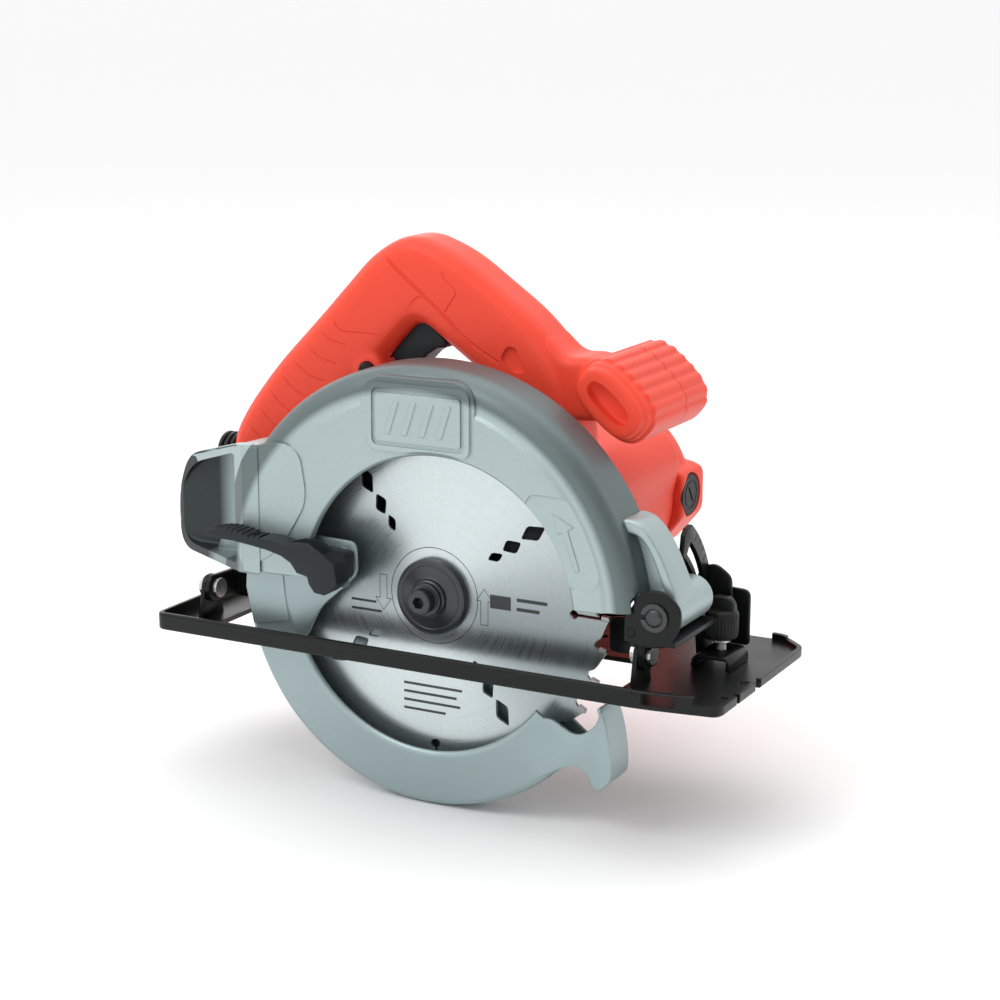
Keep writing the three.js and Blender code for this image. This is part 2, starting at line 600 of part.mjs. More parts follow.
function makeUpperGuard() {
  const nearIn = UPPER.near + UPPER.wall;
  const farIn = UPPER.far - UPPER.wall;
  const drum = plateXZ(guardSide(UPPER.radius), UPPER.near, UPPER.far);
  const lug = belt(GUIDE.pivotX, GUIDE.pivotZ, 8, GUIDE.pivotX, GUIDE.pivotZ + 16, 8.5);
  const hollow = join(
    plateXZ(arc(0, 0, rimIn, -14, 194), nearIn, farIn),
    plateXZ(chuteSide(UPPER.wall), nearIn, farIn),
    box(CHUTE.cutFar - 20, CHUTE.cutFar + 22, nearIn, farIn, CHUTE.bottom + 6, CHUTE.rearTop - 6),
  );
  const arch = plateXZ(circle(ARCH.x, 0, ARCH.radius), UPPER.near - 1, nearIn + 1);
  const web = rounded([
    [rimIn - 10, 50, 0],
    [UPPER.radius - 1, 48, 6],
    [HINGE.x, HINGE.z + 27, 8],
    [HINGE.x + 9, HINGE.z + 7, 0],
    [HINGE.x, HINGE.z - 6, 0],
    [HINGE.x - 9, HINGE.z - 1, 0],
    [rimIn - 12, UPPER.foot, 0],
  ]);
  const webSolid = cut(plateXZ(web, -4, UPPER.far), rodY(rimIn + 0.4, -30, 40));
  const pad = rounded(
    [
      [-1, -1],
      [1, -1],
      [1, 1],
      [-1, 1],
    ].map(([sx, sz]) => [PAD.x + (sx * PAD.wide) / 2, PAD.z + (sz * PAD.high) / 2, 5]),
  );
  const casting = join(
    cut(join(drum, plateXZ(chuteSide(0), UPPER.near, UPPER.far)), hollow, arch, chuteMouth()),
    webSolid,
    plateXZ(pad, UPPER.near - PAD.proud, UPPER.near + 1),
    rodY(HINGE.barrel, HINGE.near, HINGE.far, HINGE.x, HINGE.z),
    plateXZ(lug, farIn, UPPER.far),
    rodY(6, farIn, GUIDE.y - 3.1, GUIDE.pivotX, GUIDE.pivotZ),
  );
  return cut(
    casting,
    rodY(HINGE.pin + RUN, HINGE.near - 1, HINGE.far + 1, HINGE.x, HINGE.z),
    rodY(EAR.radius + 0.8, earNear - EAR.plate - 1.2, HINGE.near - 0.4, HINGE.x, HINGE.z),
    rodY(NOSE.radius + 9, farIn - 1, UPPER.far + 1),
    rodY(GUIDE.stud + GAP, farIn - 1, GUIDE.y, GUIDE.pivotX, GUIDE.pivotZ),
  );
}
piece(bodyGroup, "upper_guard", makeUpperGuard(), "castSilver");

function makeStud() {
  return rodY(GUIDE.stud, UPPER.far - UPPER.wall + GAP, GUIDE.y + 10, GUIDE.pivotX, GUIDE.pivotZ);
}
piece(bodyGroup, "depth_stud", makeStud(), "brightSteel");

function makeDepthLever() {
  const near = GUIDE.y + GUIDE.plate + GAP;
  const arm = rounded([
    [GUIDE.pivotX, GUIDE.pivotZ - 5, 0],
    [GUIDE.pivotX, GUIDE.pivotZ + 5, 0],
    [GUIDE.pivotX - 40, GUIDE.pivotZ + 12, 4],
    [GUIDE.pivotX - 42, GUIDE.pivotZ + 3, 4],
  ]);
  return cut(
    join(rodY(7, near, near + 7, GUIDE.pivotX, GUIDE.pivotZ), plateXZ(arm, near + 2, near + 7)),
    rodY(GUIDE.stud + GAP, near - 1, near + 8, GUIDE.pivotX, GUIDE.pivotZ),
  );
}
piece(bodyGroup, "depth_lock_lever", makeDepthLever(), "blackPlastic");

// ---------------------------------------------------------------- gear case
const lockY = (caseFront + 3.6 + GEAR.near) / 2;

function makeGearHousing() {
  const outline = belt(0, 0, caseRadius, AXIS.x, AXIS.z, caseMotor);
  const inner = belt(0, 0, caseRadius - caseWall, AXIS.x, AXIS.z, caseMotor - caseWall);
  const floor = caseFront + 3.4;
  const seatEnd = NOSE.end + 1 + BEARING.width + 2;
  return cut(
    join(
      plateXZ(outline, caseFront, caseEnd),
      rodY(NOSE.radius, NOSE.end + 1.4, caseFront + 1),
      rodY(NOSE.ringSeat, NOSE.end, NOSE.end + 2),
    ),
    plateXZ(inner, floor, caseEnd + 1),
    rodY(BEARING.front + GAP, NOSE.end - 1, seatEnd),
    rodY(SPINDLE.journal + 1.5, NOSE.end - 1, floor + 1),
    rodX(2.4, -caseRadius - 5, -caseRadius + 6, lockY, 0),
  );
}
piece(bodyGroup, "gear_housing", makeGearHousing(), "castSilver");

const plateNear = caseEnd - 3.6;
function makeBearingPlate() {
  const reach = caseRadius - caseWall - GAP;
  const outline = belt(0, 0, reach, AXIS.x, AXIS.z, caseMotor - caseWall - GAP);
  return plateXZ(outline, plateNear, caseEnd, [
    circle(0, 0, BEARING.rear + GAP),
    circle(AXIS.x, AXIS.z, BEARING.armature + GAP),
  ]);
}
piece(bodyGroup, "bearing_plate", makeBearingPlate(), "castSilver");

const frontSeat = NOSE.end + 1.2;
piece(
  bodyGroup,
  "spindle_bearing_front",
  ringY(SPINDLE.journal + RUN, BEARING.front, frontSeat, frontSeat + BEARING.width),
  "brightSteel",
);
piece(
  bodyGroup,
  "spindle_bearing_rear",
  ringY(SPINDLE.nose + RUN, BEARING.rear, plateNear, caseEnd),
  "brightSteel",
);
piece(
  motorGroup,
  "armature_bearing_front",
  ringY(SHAFT + RUN, BEARING.armature, plateNear, caseEnd),
  "brightSteel",
);

function makeSpindleLock() {
  const tip = -SPINDLE.collar - 0.6 - 3;
  return join(
    rodX(2, -caseRadius - 8, tip, lockY, 0),
    rodX(5.5, -caseRadius - 12, -caseRadius - 4, lockY, 0),
  );
}
piece(bodyGroup, "spindle_lock_button", makeSpindleLock(), "blackPlastic");

// ---------------------------------------------------------------- motor
const shoulder = { x: 34, z: 20, r: 14 };

function ventSlots(y0, y1, radius, angles) {
  return angles.map((a) => {
    const slot = solid(new THREE.BoxGeometry(3, y1 - y0, 16));
    const turned = slot.rotate([0, a, 0]);
    const r = a * degrees;
    return turned.translate([radius * Math.sin(r), (y0 + y1) / 2, radius * Math.cos(r)]);
  });
}

function makeMotorHousing() {
  const outline = belt(0, 0, MOTOR.radius, shoulder.x, shoulder.z, shoulder.r);
  const inner = MOTOR.radius - MOTOR.wall;
  return cut(
    plateXZ(outline, MOTOR.start, MOTOR.joint, [circle(0, 0, inner)]),
    ...ventSlots(MOTOR.start + 4, MOTOR.start + 14, MOTOR.radius, [140, 152, 164, 176, 188, 200]),
  );
}
piece(motorGroup, "motor_housing", makeMotorHousing(), "orange");

const boxNear = MOTOR.joint + GAP;
const boxFar = BRUSH.y + BRUSH.cap + 6;
function brushBox(side) {
  const outer = side * (BRUSH.reach + 0.3);
  const body = rounded([
    [side * 20, 14, 0],
    [outer, 14, 3],
    [outer, -11, 3],
    [side * 34, -28, 2],
    [side * 20, -28, 0],
  ]);
  return plateXZ(body, boxNear, boxFar);
}

function makeEndCover() {
  const r = MOTOR.radius;
  const dome = turnedY(
    [
      [0, boxNear],
      [r, boxNear],
      [r, MOTOR.end - 14],
      [r - 4, MOTOR.end - 6],
      [r - 12, MOTOR.end],
      [0, MOTOR.end],
    ],
    40,
  );
  const hollow = turnedY(
    [
      [0, boxNear - 1],
      [r - MOTOR.wall, boxNear - 1],
      [r - MOTOR.wall, MOTOR.end - 15],
      [r - 14, MOTOR.end - 2.6],
      [0, MOTOR.end - 2.6],
    ],
    40,
  );
  const seat = BEARING.armature - 2;
  const reach = BRUSH.reach + 2;
  const caps = [-1, 1].map((side) => {
    const [near, far] = side > 0 ? [BRUSH.reach - 5.4, reach] : [-reach, -BRUSH.reach + 5.4];
    return rodX(BRUSH.cap + GAP, near, far, BRUSH.y, 0);
  });
  return cut(
    join(
      cut(join(dome, brushBox(1), brushBox(-1)), hollow),
      ringY(seat + GAP, seat + 3, MOTOR.end - 9, MOTOR.end - 2),
    ),
    ...caps,
    rodX(BRUSH.holder + 1.6, -reach, reach, BRUSH.y, 0),
    ...ventSlots(MOTOR.end - 8, MOTOR.end + 2, r - 17, [150, 165, 180, 195, 210, 0, 15, 30, -15, -30]),
  );
}
piece(motorGroup, "motor_end_cover", makeEndCover(), "orange");

function makeStator() {
  const inner = STACK.rotor + STACK.airGap;
  const outer = MOTOR.radius - MOTOR.wall - GAP;
  const flat = outer - 5;
  const trim = [-1, 1].map((side) => {
    const [z0, z1] = side > 0 ? [flat, outer + 2] : [-outer - 2, -flat];
    return box(-outer, outer, STACK.start - 1, STACK.end + 1, z0, z1);
  });
  return cut(ringY(inner, outer, STACK.start, STACK.end), ...trim);
}
piece(motorGroup, "stator", makeStator(), "darkSteel");

const shaftEnd = MOTOR.end - 3.4;
const pinionEnd = GEAR.near + GEAR.width + 0.6;
piece(
  motorGroup,
  "armature_shaft",
  join(rodY(SHAFT, pinionEnd + GAP, shaftEnd), rodY(SHAFT - 1.2, GEAR.near - 1, pinionEnd + 1)),
  "brightSteel",
);

function makeArmatureCore() {
  const outline = [];
  const slots = 12;
  for (let i = 0; i < slots; i++) {
    for (const [share, r] of [
      [0.08, STACK.rotor - 5],
      [0.12, STACK.rotor],
      [0.5, STACK.rotor],
      [0.88, STACK.rotor],
      [0.92, STACK.rotor - 5],
    ]) {
      const a = ((i + share) * 2 * Math.PI) / slots;
      outline.push(new THREE.Vector2(r * Math.cos(a), r * Math.sin(a)));
    }
  }
  return plateXZ(outline, STACK.start, STACK.end, [circle(0, 0, SHAFT + GAP)]);
}
piece(motorGroup, "armature_core", makeArmatureCore(), "copper");
piece(
  motorGroup,
  "commutator",
  ringY(SHAFT + GAP, COMMUTATOR.radius, COMMUTATOR.start, COMMUTATOR.end),
  "copper",
);

function makeFan() {
  const start = MOTOR.start + 2;
  const tip = MOTOR.radius - MOTOR.wall - 4;
  const blades = [];
  for (let i = 0; i < 9; i++) {
    const vane = box(-0.8, 0.8, start, start + 11, SHAFT + 4, tip);
    blades.push(vane.rotate([0, (i * 360) / 9, 0]));
  }
  return join(
    ringY(SHAFT + GAP, tip, start, start + 1.8),
    ringY(SHAFT + GAP, SHAFT + 5, start, start + 11),
    ...blades,
  );
}
piece(motorGroup, "fan", makeFan(), "blackPlastic");

piece(
  motorGroup,
  "armature_bearing_rear",
  ringY(SHAFT + RUN, BEARING.armature - 2, MOTOR.end - 9, MOTOR.end - 3),
  "brightSteel",
);

for (const [side, label] of [
  [1, "front"],
  [-1, "rear"],
]) {
  const between = (from, to) => (side > 0 ? [from, to] : [-to, -from]);
  const start = COMMUTATOR.radius + 0.4;
  const inside = BRUSH.reach - 5;
  const sleeve = cut(
    rodX(BRUSH.holder + 1.2, ...between(start + 2, inside - 1), BRUSH.y, 0),
    box(
      ...between(start, inside),
      BRUSH.y - BRUSH.wide / 2 - GAP,
      BRUSH.y + BRUSH.wide / 2 + GAP,
      -BRUSH.high / 2 - GAP,
      BRUSH.high / 2 + GAP,
    ),
  );
  piece(motorGroup, "brush_holder_" + label, sleeve, "copper");
  const carbon = box(
    ...between(start, start + 14),
    BRUSH.y - BRUSH.wide / 2,
    BRUSH.y + BRUSH.wide / 2,
    -BRUSH.high / 2,
    BRUSH.high / 2,
  );
  piece(motorGroup, "brush_" + label, carbon, "carbon");
  const spring = coilY(2.6, 0.45, 5, 0, inside - start - 15.5);
  const lying = spring.rotate([0, 0, side > 0 ? -90 : 90]);
  piece(
    motorGroup,
    "brush_spring_" + label,
    lying.translate([side * (start + 14.8), BRUSH.y, 0]),
    "brightSteel",
  );
  const cap = cut(
    rodX(BRUSH.cap, ...between(inside, BRUSH.reach), BRUSH.y, 0),
    box(...between(BRUSH.reach - 1.4, BRUSH.reach + 1), BRUSH.y - 6, BRUSH.y + 6, -1, 1),
  );
  piece(motorGroup, "brush_cap_" + label, cap, "greyPlastic");
}

// ---------------------------------------------------------------- handle
function gripPoint(s, n) {
  const [c, d] = [Math.cos(GRIP.angle), Math.sin(GRIP.angle)];
  return [GRIP.x - c * s + d * n, GRIP.z - d * s - c * n];
}

function gripBox(s0, s1, n0, n1, y0, y1) {
  const corners = [
    [s0, n0],
    [s1, n0],
    [s1, n1],
    [s0, n1],
  ].map(([s, n]) => new THREE.Vector2(...gripPoint(s, n)));
  return plateXZ(corners, y0, y1);
}

const handleOuter = rounded([
  [-139, 36, 6],
  [-140, 56, 8],
  [-131, 73, 14],
  [-88, 121, 14],
  [-52, 158, 14],
  [-34, 165, 14],
  [-12, 158, 14],
  [32, 128, 20],
  [54, 106, 10],
  [57, 84, 8],
  [60, 40, 0],
  [20, 20, 0],
  [-30, 14, 0],
  [-124, 16, 12],
]);
const handleLoop = rounded([
  [-30, 125, 6],
  [10, 97, 10],
  [4, 78, 10],
  [-14, 71, 10],
  [-44, 42, 12],
  [-90, 40, 12],
  [-100, 47, 8],
]);

function handleShell(y0, y1, openY) {
  const wall = HANDLE.wall;
  const barrel = rodY(MOTOR.radius + GAP + 0.2, y0 - 1, y1 + 1, AXIS.x, AXIS.z);
  const bump = belt(
    AXIS.x,
    AXIS.z,
    MOTOR.radius + GAP + 0.2,
    AXIS.x + shoulder.x,
    AXIS.z + shoulder.z,
    shoulder.r + GAP + 0.2,
  );
  const cavityOuter = inset(handleOuter, wall);
  const cavityLoop = inset(handleLoop, -wall);
  const saddle = belt(
    AXIS.x,
    AXIS.z,
    MOTOR.radius + wall,
    AXIS.x + shoulder.x,
    AXIS.z + shoulder.z,
    shoulder.r + wall,
  );
  const [c0, c1] = openY > y0 + 1 ? [y0 + wall, openY + 1] : [openY - 1, y1 - wall];
  const cavity = cut(
    plateXZ(cavityOuter, c0, c1),
    plateXZ(cavityLoop, c0 - 1, c1 + 1),
    plateXZ(saddle, c0 - 1, c1 + 1),
  );
  return cut(
    join(
      cut(plateXZ(handleOuter, y0, y1), plateXZ(handleLoop, y0 - 1, y1 + 1)),
      rodY(LOCK_OFF.boss, y0, y1, LOCK_OFF.x, LOCK_OFF.z),
    ),
    cavity,
    barrel,
    plateXZ(bump, y0 - 1, y1 + 1),
    gripBox(
      TRIGGER.from - 0.8,
      TRIGGER.to + 0.8,
      -TRIGGER.into - 1,
      TRIGGER.out,
      HANDLE.y - TRIGGER.half - GAP,
      HANDLE.y + TRIGGER.half + GAP,
    ),
    caseRoom(GAP + 0.2, caseEnd + GAP),
    rodX(GLAND.radius + GAP, GLAND.start - 2, GLAND.start + GLAND.length + 6, HANDLE.y, GLAND.z),
    rodY(LOCK_OFF.radius + GAP, y0 - 1, y1 + 1, LOCK_OFF.x, LOCK_OFF.z),
  );
}
const seamHalf = GAP / 2;
piece(
  bodyGroup,
  "handle_shell_near",
  handleShell(HANDLE.y - HANDLE.half, HANDLE.y - seamHalf, HANDLE.y - seamHalf),
  "orange",
);
piece(
  bodyGroup,
  "handle_shell_far",
  handleShell(HANDLE.y + seamHalf, HANDLE.y + HANDLE.half, HANDLE.y + seamHalf),
  "orange",
);

piece(
  bodyGroup,
  "lock_off_button",
  rodY(
    LOCK_OFF.radius,
    HANDLE.y - HANDLE.half - LOCK_OFF.proud,
    HANDLE.y + HANDLE.half - 1,
    LOCK_OFF.x,
    LOCK_OFF.z,
  ),
  "greyPlastic",
);

function makeTrigger() {
  const face = [
    [TRIGGER.from, -TRIGGER.into],
    [TRIGGER.to, -TRIGGER.into],
    [TRIGGER.to, 3],
    [TRIGGER.to - 8, TRIGGER.out - 5],
    [TRIGGER.from + 12, TRIGGER.out - 4],
    [TRIGGER.from + 3, TRIGGER.out],
    [TRIGGER.from, TRIGGER.out - 3],
  ].map(([s, n]) => new THREE.Vector2(...gripPoint(s, n)));
  return plateXZ(face, HANDLE.y - TRIGGER.half, HANDLE.y + TRIGGER.half);
}
piece(bodyGroup, "trigger", makeTrigger(), "greyPlastic");

piece(
  bodyGroup,
  "switch",
  gripBox(
    TRIGGER.from - 2,
    TRIGGER.to - 4,
    -GRIP.depth + HANDLE.wall + 2,
    -TRIGGER.into - TRIGGER.travel - 1.5,
    HANDLE.y - 7.5,
    HANDLE.y + 7.5,
  ),
  "blackPlastic",
);

function makeGland() {
  const end = GLAND.start + GLAND.length;
  const rib = (x) => rodX(GLAND.radius + 1.4, x, x + 2.4, HANDLE.y, GLAND.z);
  return cut(
    join(
      rodX(GLAND.radius, GLAND.start + 1, end, HANDLE.y, GLAND.z),
      rib(GLAND.start),
      rib(GLAND.start + 5),
    ),
    rodX(GLAND.hole, GLAND.start - 1, end + 1, HANDLE.y, GLAND.z),
  );
}
piece(bodyGroup, "cable_gland", makeGland(), "blackPlastic");

// Ribbed second grip, lying along Y in front of the handle.
function podSection(grow) {
  const points = [];
  const count = 20;
  for (let i = 0; i < count; i++) {
    const a = (i * 2 * Math.PI) / count;
    const power = (v) => Math.sign(v) * Math.abs(v) ** 0.75;
    const [u, v] = [(POD.a + grow) * power(Math.cos(a)), (POD.b + grow) * power(Math.sin(a))];
    const [c, s] = [Math.cos(POD.tilt), Math.sin(POD.tilt)];
    points.push(new THREE.Vector2(POD.x + u * c - v * s, POD.z + u * s + v * c));
  }
  return points;
}

function makeAuxHandle() {
  const neck = rounded([
    [POD.x - 2, POD.z + 10, 0],
    [46, POD.z + 12, 0],
    [50, POD.z - 12, 0],
    [POD.x, POD.z - 10, 0],
  ]);
  const neckHalf = HANDLE.half - 3;
  const keep = plateXZ(neck, HANDLE.y - neckHalf, HANDLE.y + neckHalf);
  return cut(
    join(
      plateXZ(podSection(-3), POD.near, POD.far),
      plateXZ(podSection(0), POD.near + 4, POD.far - 5),
      cut(keep, plateXZ(inset(handleOuter, -0.5), POD.near, POD.far)),
    ),
    plateXZ(podSection(-9), POD.near - 1, POD.near + 8),
  );
}
piece(bodyGroup, "auxiliary_handle", makeAuxHandle(), "orange");

// ---------------------------------------------------------------- blade and drive train
function bladeOutline() {
  const points = [];
  const { radius, teeth, toothDepth } = BLADE;
  for (let i = 0; i < teeth; i++) {
    const spot = (r, share) => {
      const a = ((i + share) * 2 * Math.PI) / teeth;
      points.push(new THREE.Vector2(r * Math.cos(a), r * Math.sin(a)));
    };
    spot(radius, 0);
    spot(radius - toothDepth, 0.04);
    spot(radius - toothDepth - 1.5, 0.2);
    spot(radius - toothDepth + 0.6, 0.42);
    spot(radius - 1.4, 0.86);
  }
  return points;
}

function diamond(radius, angle, long, wide) {
  const points = [
    [radius - long / 2, 0],
    [radius - long * 0.05, wide / 2],
    [radius + long / 2, 0],
    [radius - long * 0.05, -wide / 2],
  ];
  const turn = angle * degrees;
  return points.map(([u, v]) => new THREE.Vector2(u, v).rotateAround(new THREE.Vector2(), turn));
}

function makeBlade() {
  const plate = plateXZ(bladeOutline(), -BLADE.body / 2, BLADE.body / 2, [circle(0, 0, BLADE.bore)]);
  const vents = [];
  for (let i = 0; i < 4; i++) {
    const angle = 35 + i * 90;
    vents.push(diamond(40, angle, 8, 5), diamond(51, angle, 10, 6.5), diamond(65, angle, 14, 8));
  }
  const holes = vents.map((points) => plateXZ(points, -2, 2));
  const reach = BLADE.radius - BLADE.toothDepth;
  for (let i = 0; i < 4; i++) {
    const a = (5 + i * 90) * degrees;
    holes.push(rodY(2.4, -2, 2, (reach - 14) * Math.cos(a), (reach - 14) * Math.sin(a)));
  }
  return cut(plate, ...holes);
}
piece(bladeGroup, "blade", makeBlade(), "brightSteel");

const bladeFace = BLADE.body / 2;
const innerBack = bladeFace + 0.2;
function makeInnerFlange() {
  return cut(
    join(
      rodY(FLANGE.radius, innerBack, innerBack + FLANGE.thick),
      rodY(BLADE.bore - GAP, -bladeFace + 0.1, innerBack + 1),
    ),
    rodY(SPINDLE.nose + GAP, -5, innerBack + FLANGE.thick + 1),
  );
}
piece(bladeGroup, "inner_flange", makeInnerFlange(), "darkSteel");

const outerFront = -bladeFace - 0.2 - FLANGE.outerThick;
function makeOuterFlange() {
  const back = -bladeFace - 0.2;
  return cut(
    turnedY(
      [
        [0, outerFront - 2.6],
        [FLANGE.hub - 1, outerFront - 2.6],
        [FLANGE.hub, outerFront - 1.6],
        [FLANGE.hub + 1.5, outerFront],
        [FLANGE.radius - 1.5, outerFront],
        [FLANGE.radius, outerFront + 1.5],
        [FLANGE.radius, back],
        [0, back],
      ],
      32,
    ),
    rodY(SPINDLE.nose + GAP, outerFront - 5, back + 1),
  );
}
piece(bladeGroup, "outer_flange", makeOuterFlange(), "darkSteel");

const spindleNose = outerFront + 1;
function makeBladeBolt() {
  const headBack = outerFront - 2.6 - GAP;
  const hex = arc(0, 0, BOLT.hex * 1.15, 0, 360);
  const socket = [];
  for (let i = 0; i < 6; i++) socket.push(hex[Math.round((i * (hex.length - 1)) / 6)]);
  return cut(
    join(
      rodY(BOLT.head, -BOLT.reach, headBack - 1.8),
      rodY(BOLT.head + 2, headBack - 1.8, headBack),
      rodY(SPINDLE.nose - 1.6, headBack - 1, spindleNose + 8),
    ),
    plateXZ(socket, -BOLT.reach - 1, -BOLT.reach + 4),
  );
}
piece(bladeGroup, "blade_bolt", makeBladeBolt(), "darkSteel");

function makeSpindle() {
  const step = innerBack + FLANGE.thick + GAP;
  const bolt = SPINDLE.nose - 1.6 + GAP;
  const gearEnd = GEAR.near + GEAR.width;
  const collarNear = lockY - 2.1;
  const collarFar = GEAR.near - 0.4;
  return cut(
    turnedY([
      [0, spindleNose],
      [SPINDLE.nose, spindleNose],
      [SPINDLE.nose, step],
      [SPINDLE.journal, step],
      [SPINDLE.journal, collarNear],
      [SPINDLE.collar, collarNear],
      [SPINDLE.collar, collarFar],
      [SPINDLE.seat, collarFar],
      [SPINDLE.seat, gearEnd + 1],
      [SPINDLE.nose, gearEnd + 1],
      [SPINDLE.nose, caseEnd - 0.4],
      [0, caseEnd - 0.4],
    ]),
    rodY(bolt, spindleNose - 1, spindleNose + 9),
  );
}
piece(bladeGroup, "spindle", makeSpindle(), "brightSteel");

const meshTurn = MOTOR_ANGLE; // a wheel tooth gap faces the pinion
piece(
  bladeGroup,
  "drive_gear",
  plateXZ(
    gearOutline(GEAR.wheel, GEAR.module, meshTurn + Math.PI / GEAR.wheel),
    GEAR.near,
    GEAR.near + GEAR.width,
    [circle(0, 0, SPINDLE.seat + GAP)],
  ),
  "darkSteel",
);
piece(
  motorGroup,
  "pinion",
  plateXZ(
    gearOutline(GEAR.pinion, GEAR.module, meshTurn + Math.PI),
    GEAR.near - 0.6,
    pinionEnd,
    [circle(0, 0, SHAFT - 1.2 + GAP)],
  ),
  "darkSteel",
);

// ---------------------------------------------------------------- lower guard
const GUARD_FROM = 178; // rear end of the sector
const GUARD_TO = 323; // front end of the sector

function makeLowerGuard() {
  const { radius, near, far, wall, inner } = LOWER;
  const scale = radius / 101;
  const lip = (points) => rounded(points.map(([x, z, r]) => [x * scale, z * scale, r]));
  const rimIn2 = radius - 1.8;
  const ear = lip([
    [-96, -6, 0],
    [-97, 20, 6],
    [-72, 25, 4],
    [-37, 24, 4],
    [-34, 10, 4],
    [-46, 0, 6],
    [-72, -24, 0],
  ]);
  const hookFace = lip([
    [74, -46, 0],
    [92, -41, 2],
    [96, -64, 4],
    [95.5, -73, 4],
    [90.5, -79, 2],
    [86, -79, 2],
    [84, -66.5, 5],
    [76, -61, 0],
    [60, -66, 0],
  ]);
  const hookRim = lip([
    [92, -41, 0],
    [96, -64, 4],
    [95.5, -73, 4],
    [90.5, -79, 1],
    [89.5, -77, 0],
    [93.6, -72, 3],
    [94, -64, 3],
    [90, -41, 0],
  ]);
  const sector = [...arc(0, 0, radius - 0.6, GUARD_FROM, GUARD_TO), new THREE.Vector2(0, 0)];
  const reach = NOSE.radius + RUN;
  return cut(
    join(
      plateXZ(band(inner, radius, GUARD_FROM, GUARD_TO), near, near + wall),
      plateXZ(band(rimIn2, radius, GUARD_FROM, GUARD_TO), near, far),
      plateXZ(sector, far - wall, far),
      rodY(reach + 4.5, NOSE.end + 1.4, far + 1.3),
      plateXZ(ear, near, near + wall),
      plateXZ(hookFace, near, near + wall),
      plateXZ(hookRim, near, far),
    ),
    rodY(reach, NOSE.end - 4, far + 4),
  );
}
piece(guardGroup, "lower_guard", makeLowerGuard(), "castSilver");

function makeGuardLever() {
  const top = LOWER.near - GAP;
  const teeth = [];
  for (let x = -106; x < -76; x += 3) {
    teeth.push([x, 26.4 + (x + 106) * 0.12], [x + 1.5, 27.6 + (x + 106) * 0.12]);
  }
  const blade = [
    [-109, 24],
    ...teeth,
    [-60, 27.5],
    [-46, 26],
    [-36, 21],
    [-35, 9],
    [-41, 2],
    [-48, 3],
    [-54, 10],
    [-65, 15],
    [-82, 19],
    [-100, 21.5],
  ].map(([x, z]) => new THREE.Vector2(x, z));
  const stem = rounded([
    [-53, 8, 3],
    [-38, 6, 3],
    [-37, 20, 3],
    [-52, 21, 3],
  ]);
  return join(
    plateXZ(blade, UPPER.near - PAD.proud - 13, UPPER.near - PAD.proud - 1.3),
    plateXZ(stem, UPPER.near - PAD.proud - 2, top),
  );
}
piece(guardGroup, "guard_lever", makeGuardLever(), "greyPlastic");

function makeRetainer() {
  const front = NOSE.end + 0.1;
  const slit = box(-2, 2, front - 1, front + 2, NOSE.ringSeat - 1, NOSE.radius + 4);
  return cut(ringY(NOSE.ringSeat + GAP, NOSE.radius + 2.6, front, front + 1), slit);
}
piece(bodyGroup, "guard_retaining_ring", makeRetainer(), "darkSteel");

const springRoom = [LOWER.far + 1.3 + 1.1, UPPER.far - 0.6];
piece(
  bodyGroup,
  "guard_return_spring",
  coilY(NOSE.radius + 3.4, 0.7, 1.25, springRoom[0], springRoom[1]),
  "brightSteel",
);

// ---------------------------------------------------------------- fasteners
const SCREW = { head: 3, high: 2.6, slotDepth: 1.2, slotHalf: 0.6, ring: MOTOR.radius - 17 };
function makeScrew(x, z, y) {
  const slotFloor = y + SCREW.high - SCREW.slotDepth;
  const slot = box(x - SCREW.head, x + SCREW.head, slotFloor, y + 4, z - SCREW.slotHalf, z + SCREW.slotHalf);
  return cut(rodY(SCREW.head, y, y + SCREW.high, x, z), slot);
}
for (const [i, angle] of [60, 240].entries()) {
  const [x, z] = [SCREW.ring * Math.cos(angle * degrees), SCREW.ring * Math.sin(angle * degrees)];
  piece(motorGroup, "end_cover_screw_" + (i + 1), makeScrew(x, z, MOTOR.end + GAP), "brightSteel");
}

// ---------------------------------------------------------------- row frame
saw.position.set(0, -MOUNT_Y, -SOLE);
const group = new THREE.Group();
group.add(saw);

export default group;
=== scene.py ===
"""Looks of a hand-held circular saw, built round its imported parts: metres, +Z up, +X the cutting direction.

Pieces are modelled in millimetres about the blade spindle and then put in the row frame.
"""

import json
import math

import bmesh
import bpy
from mathutils import Matrix, Vector


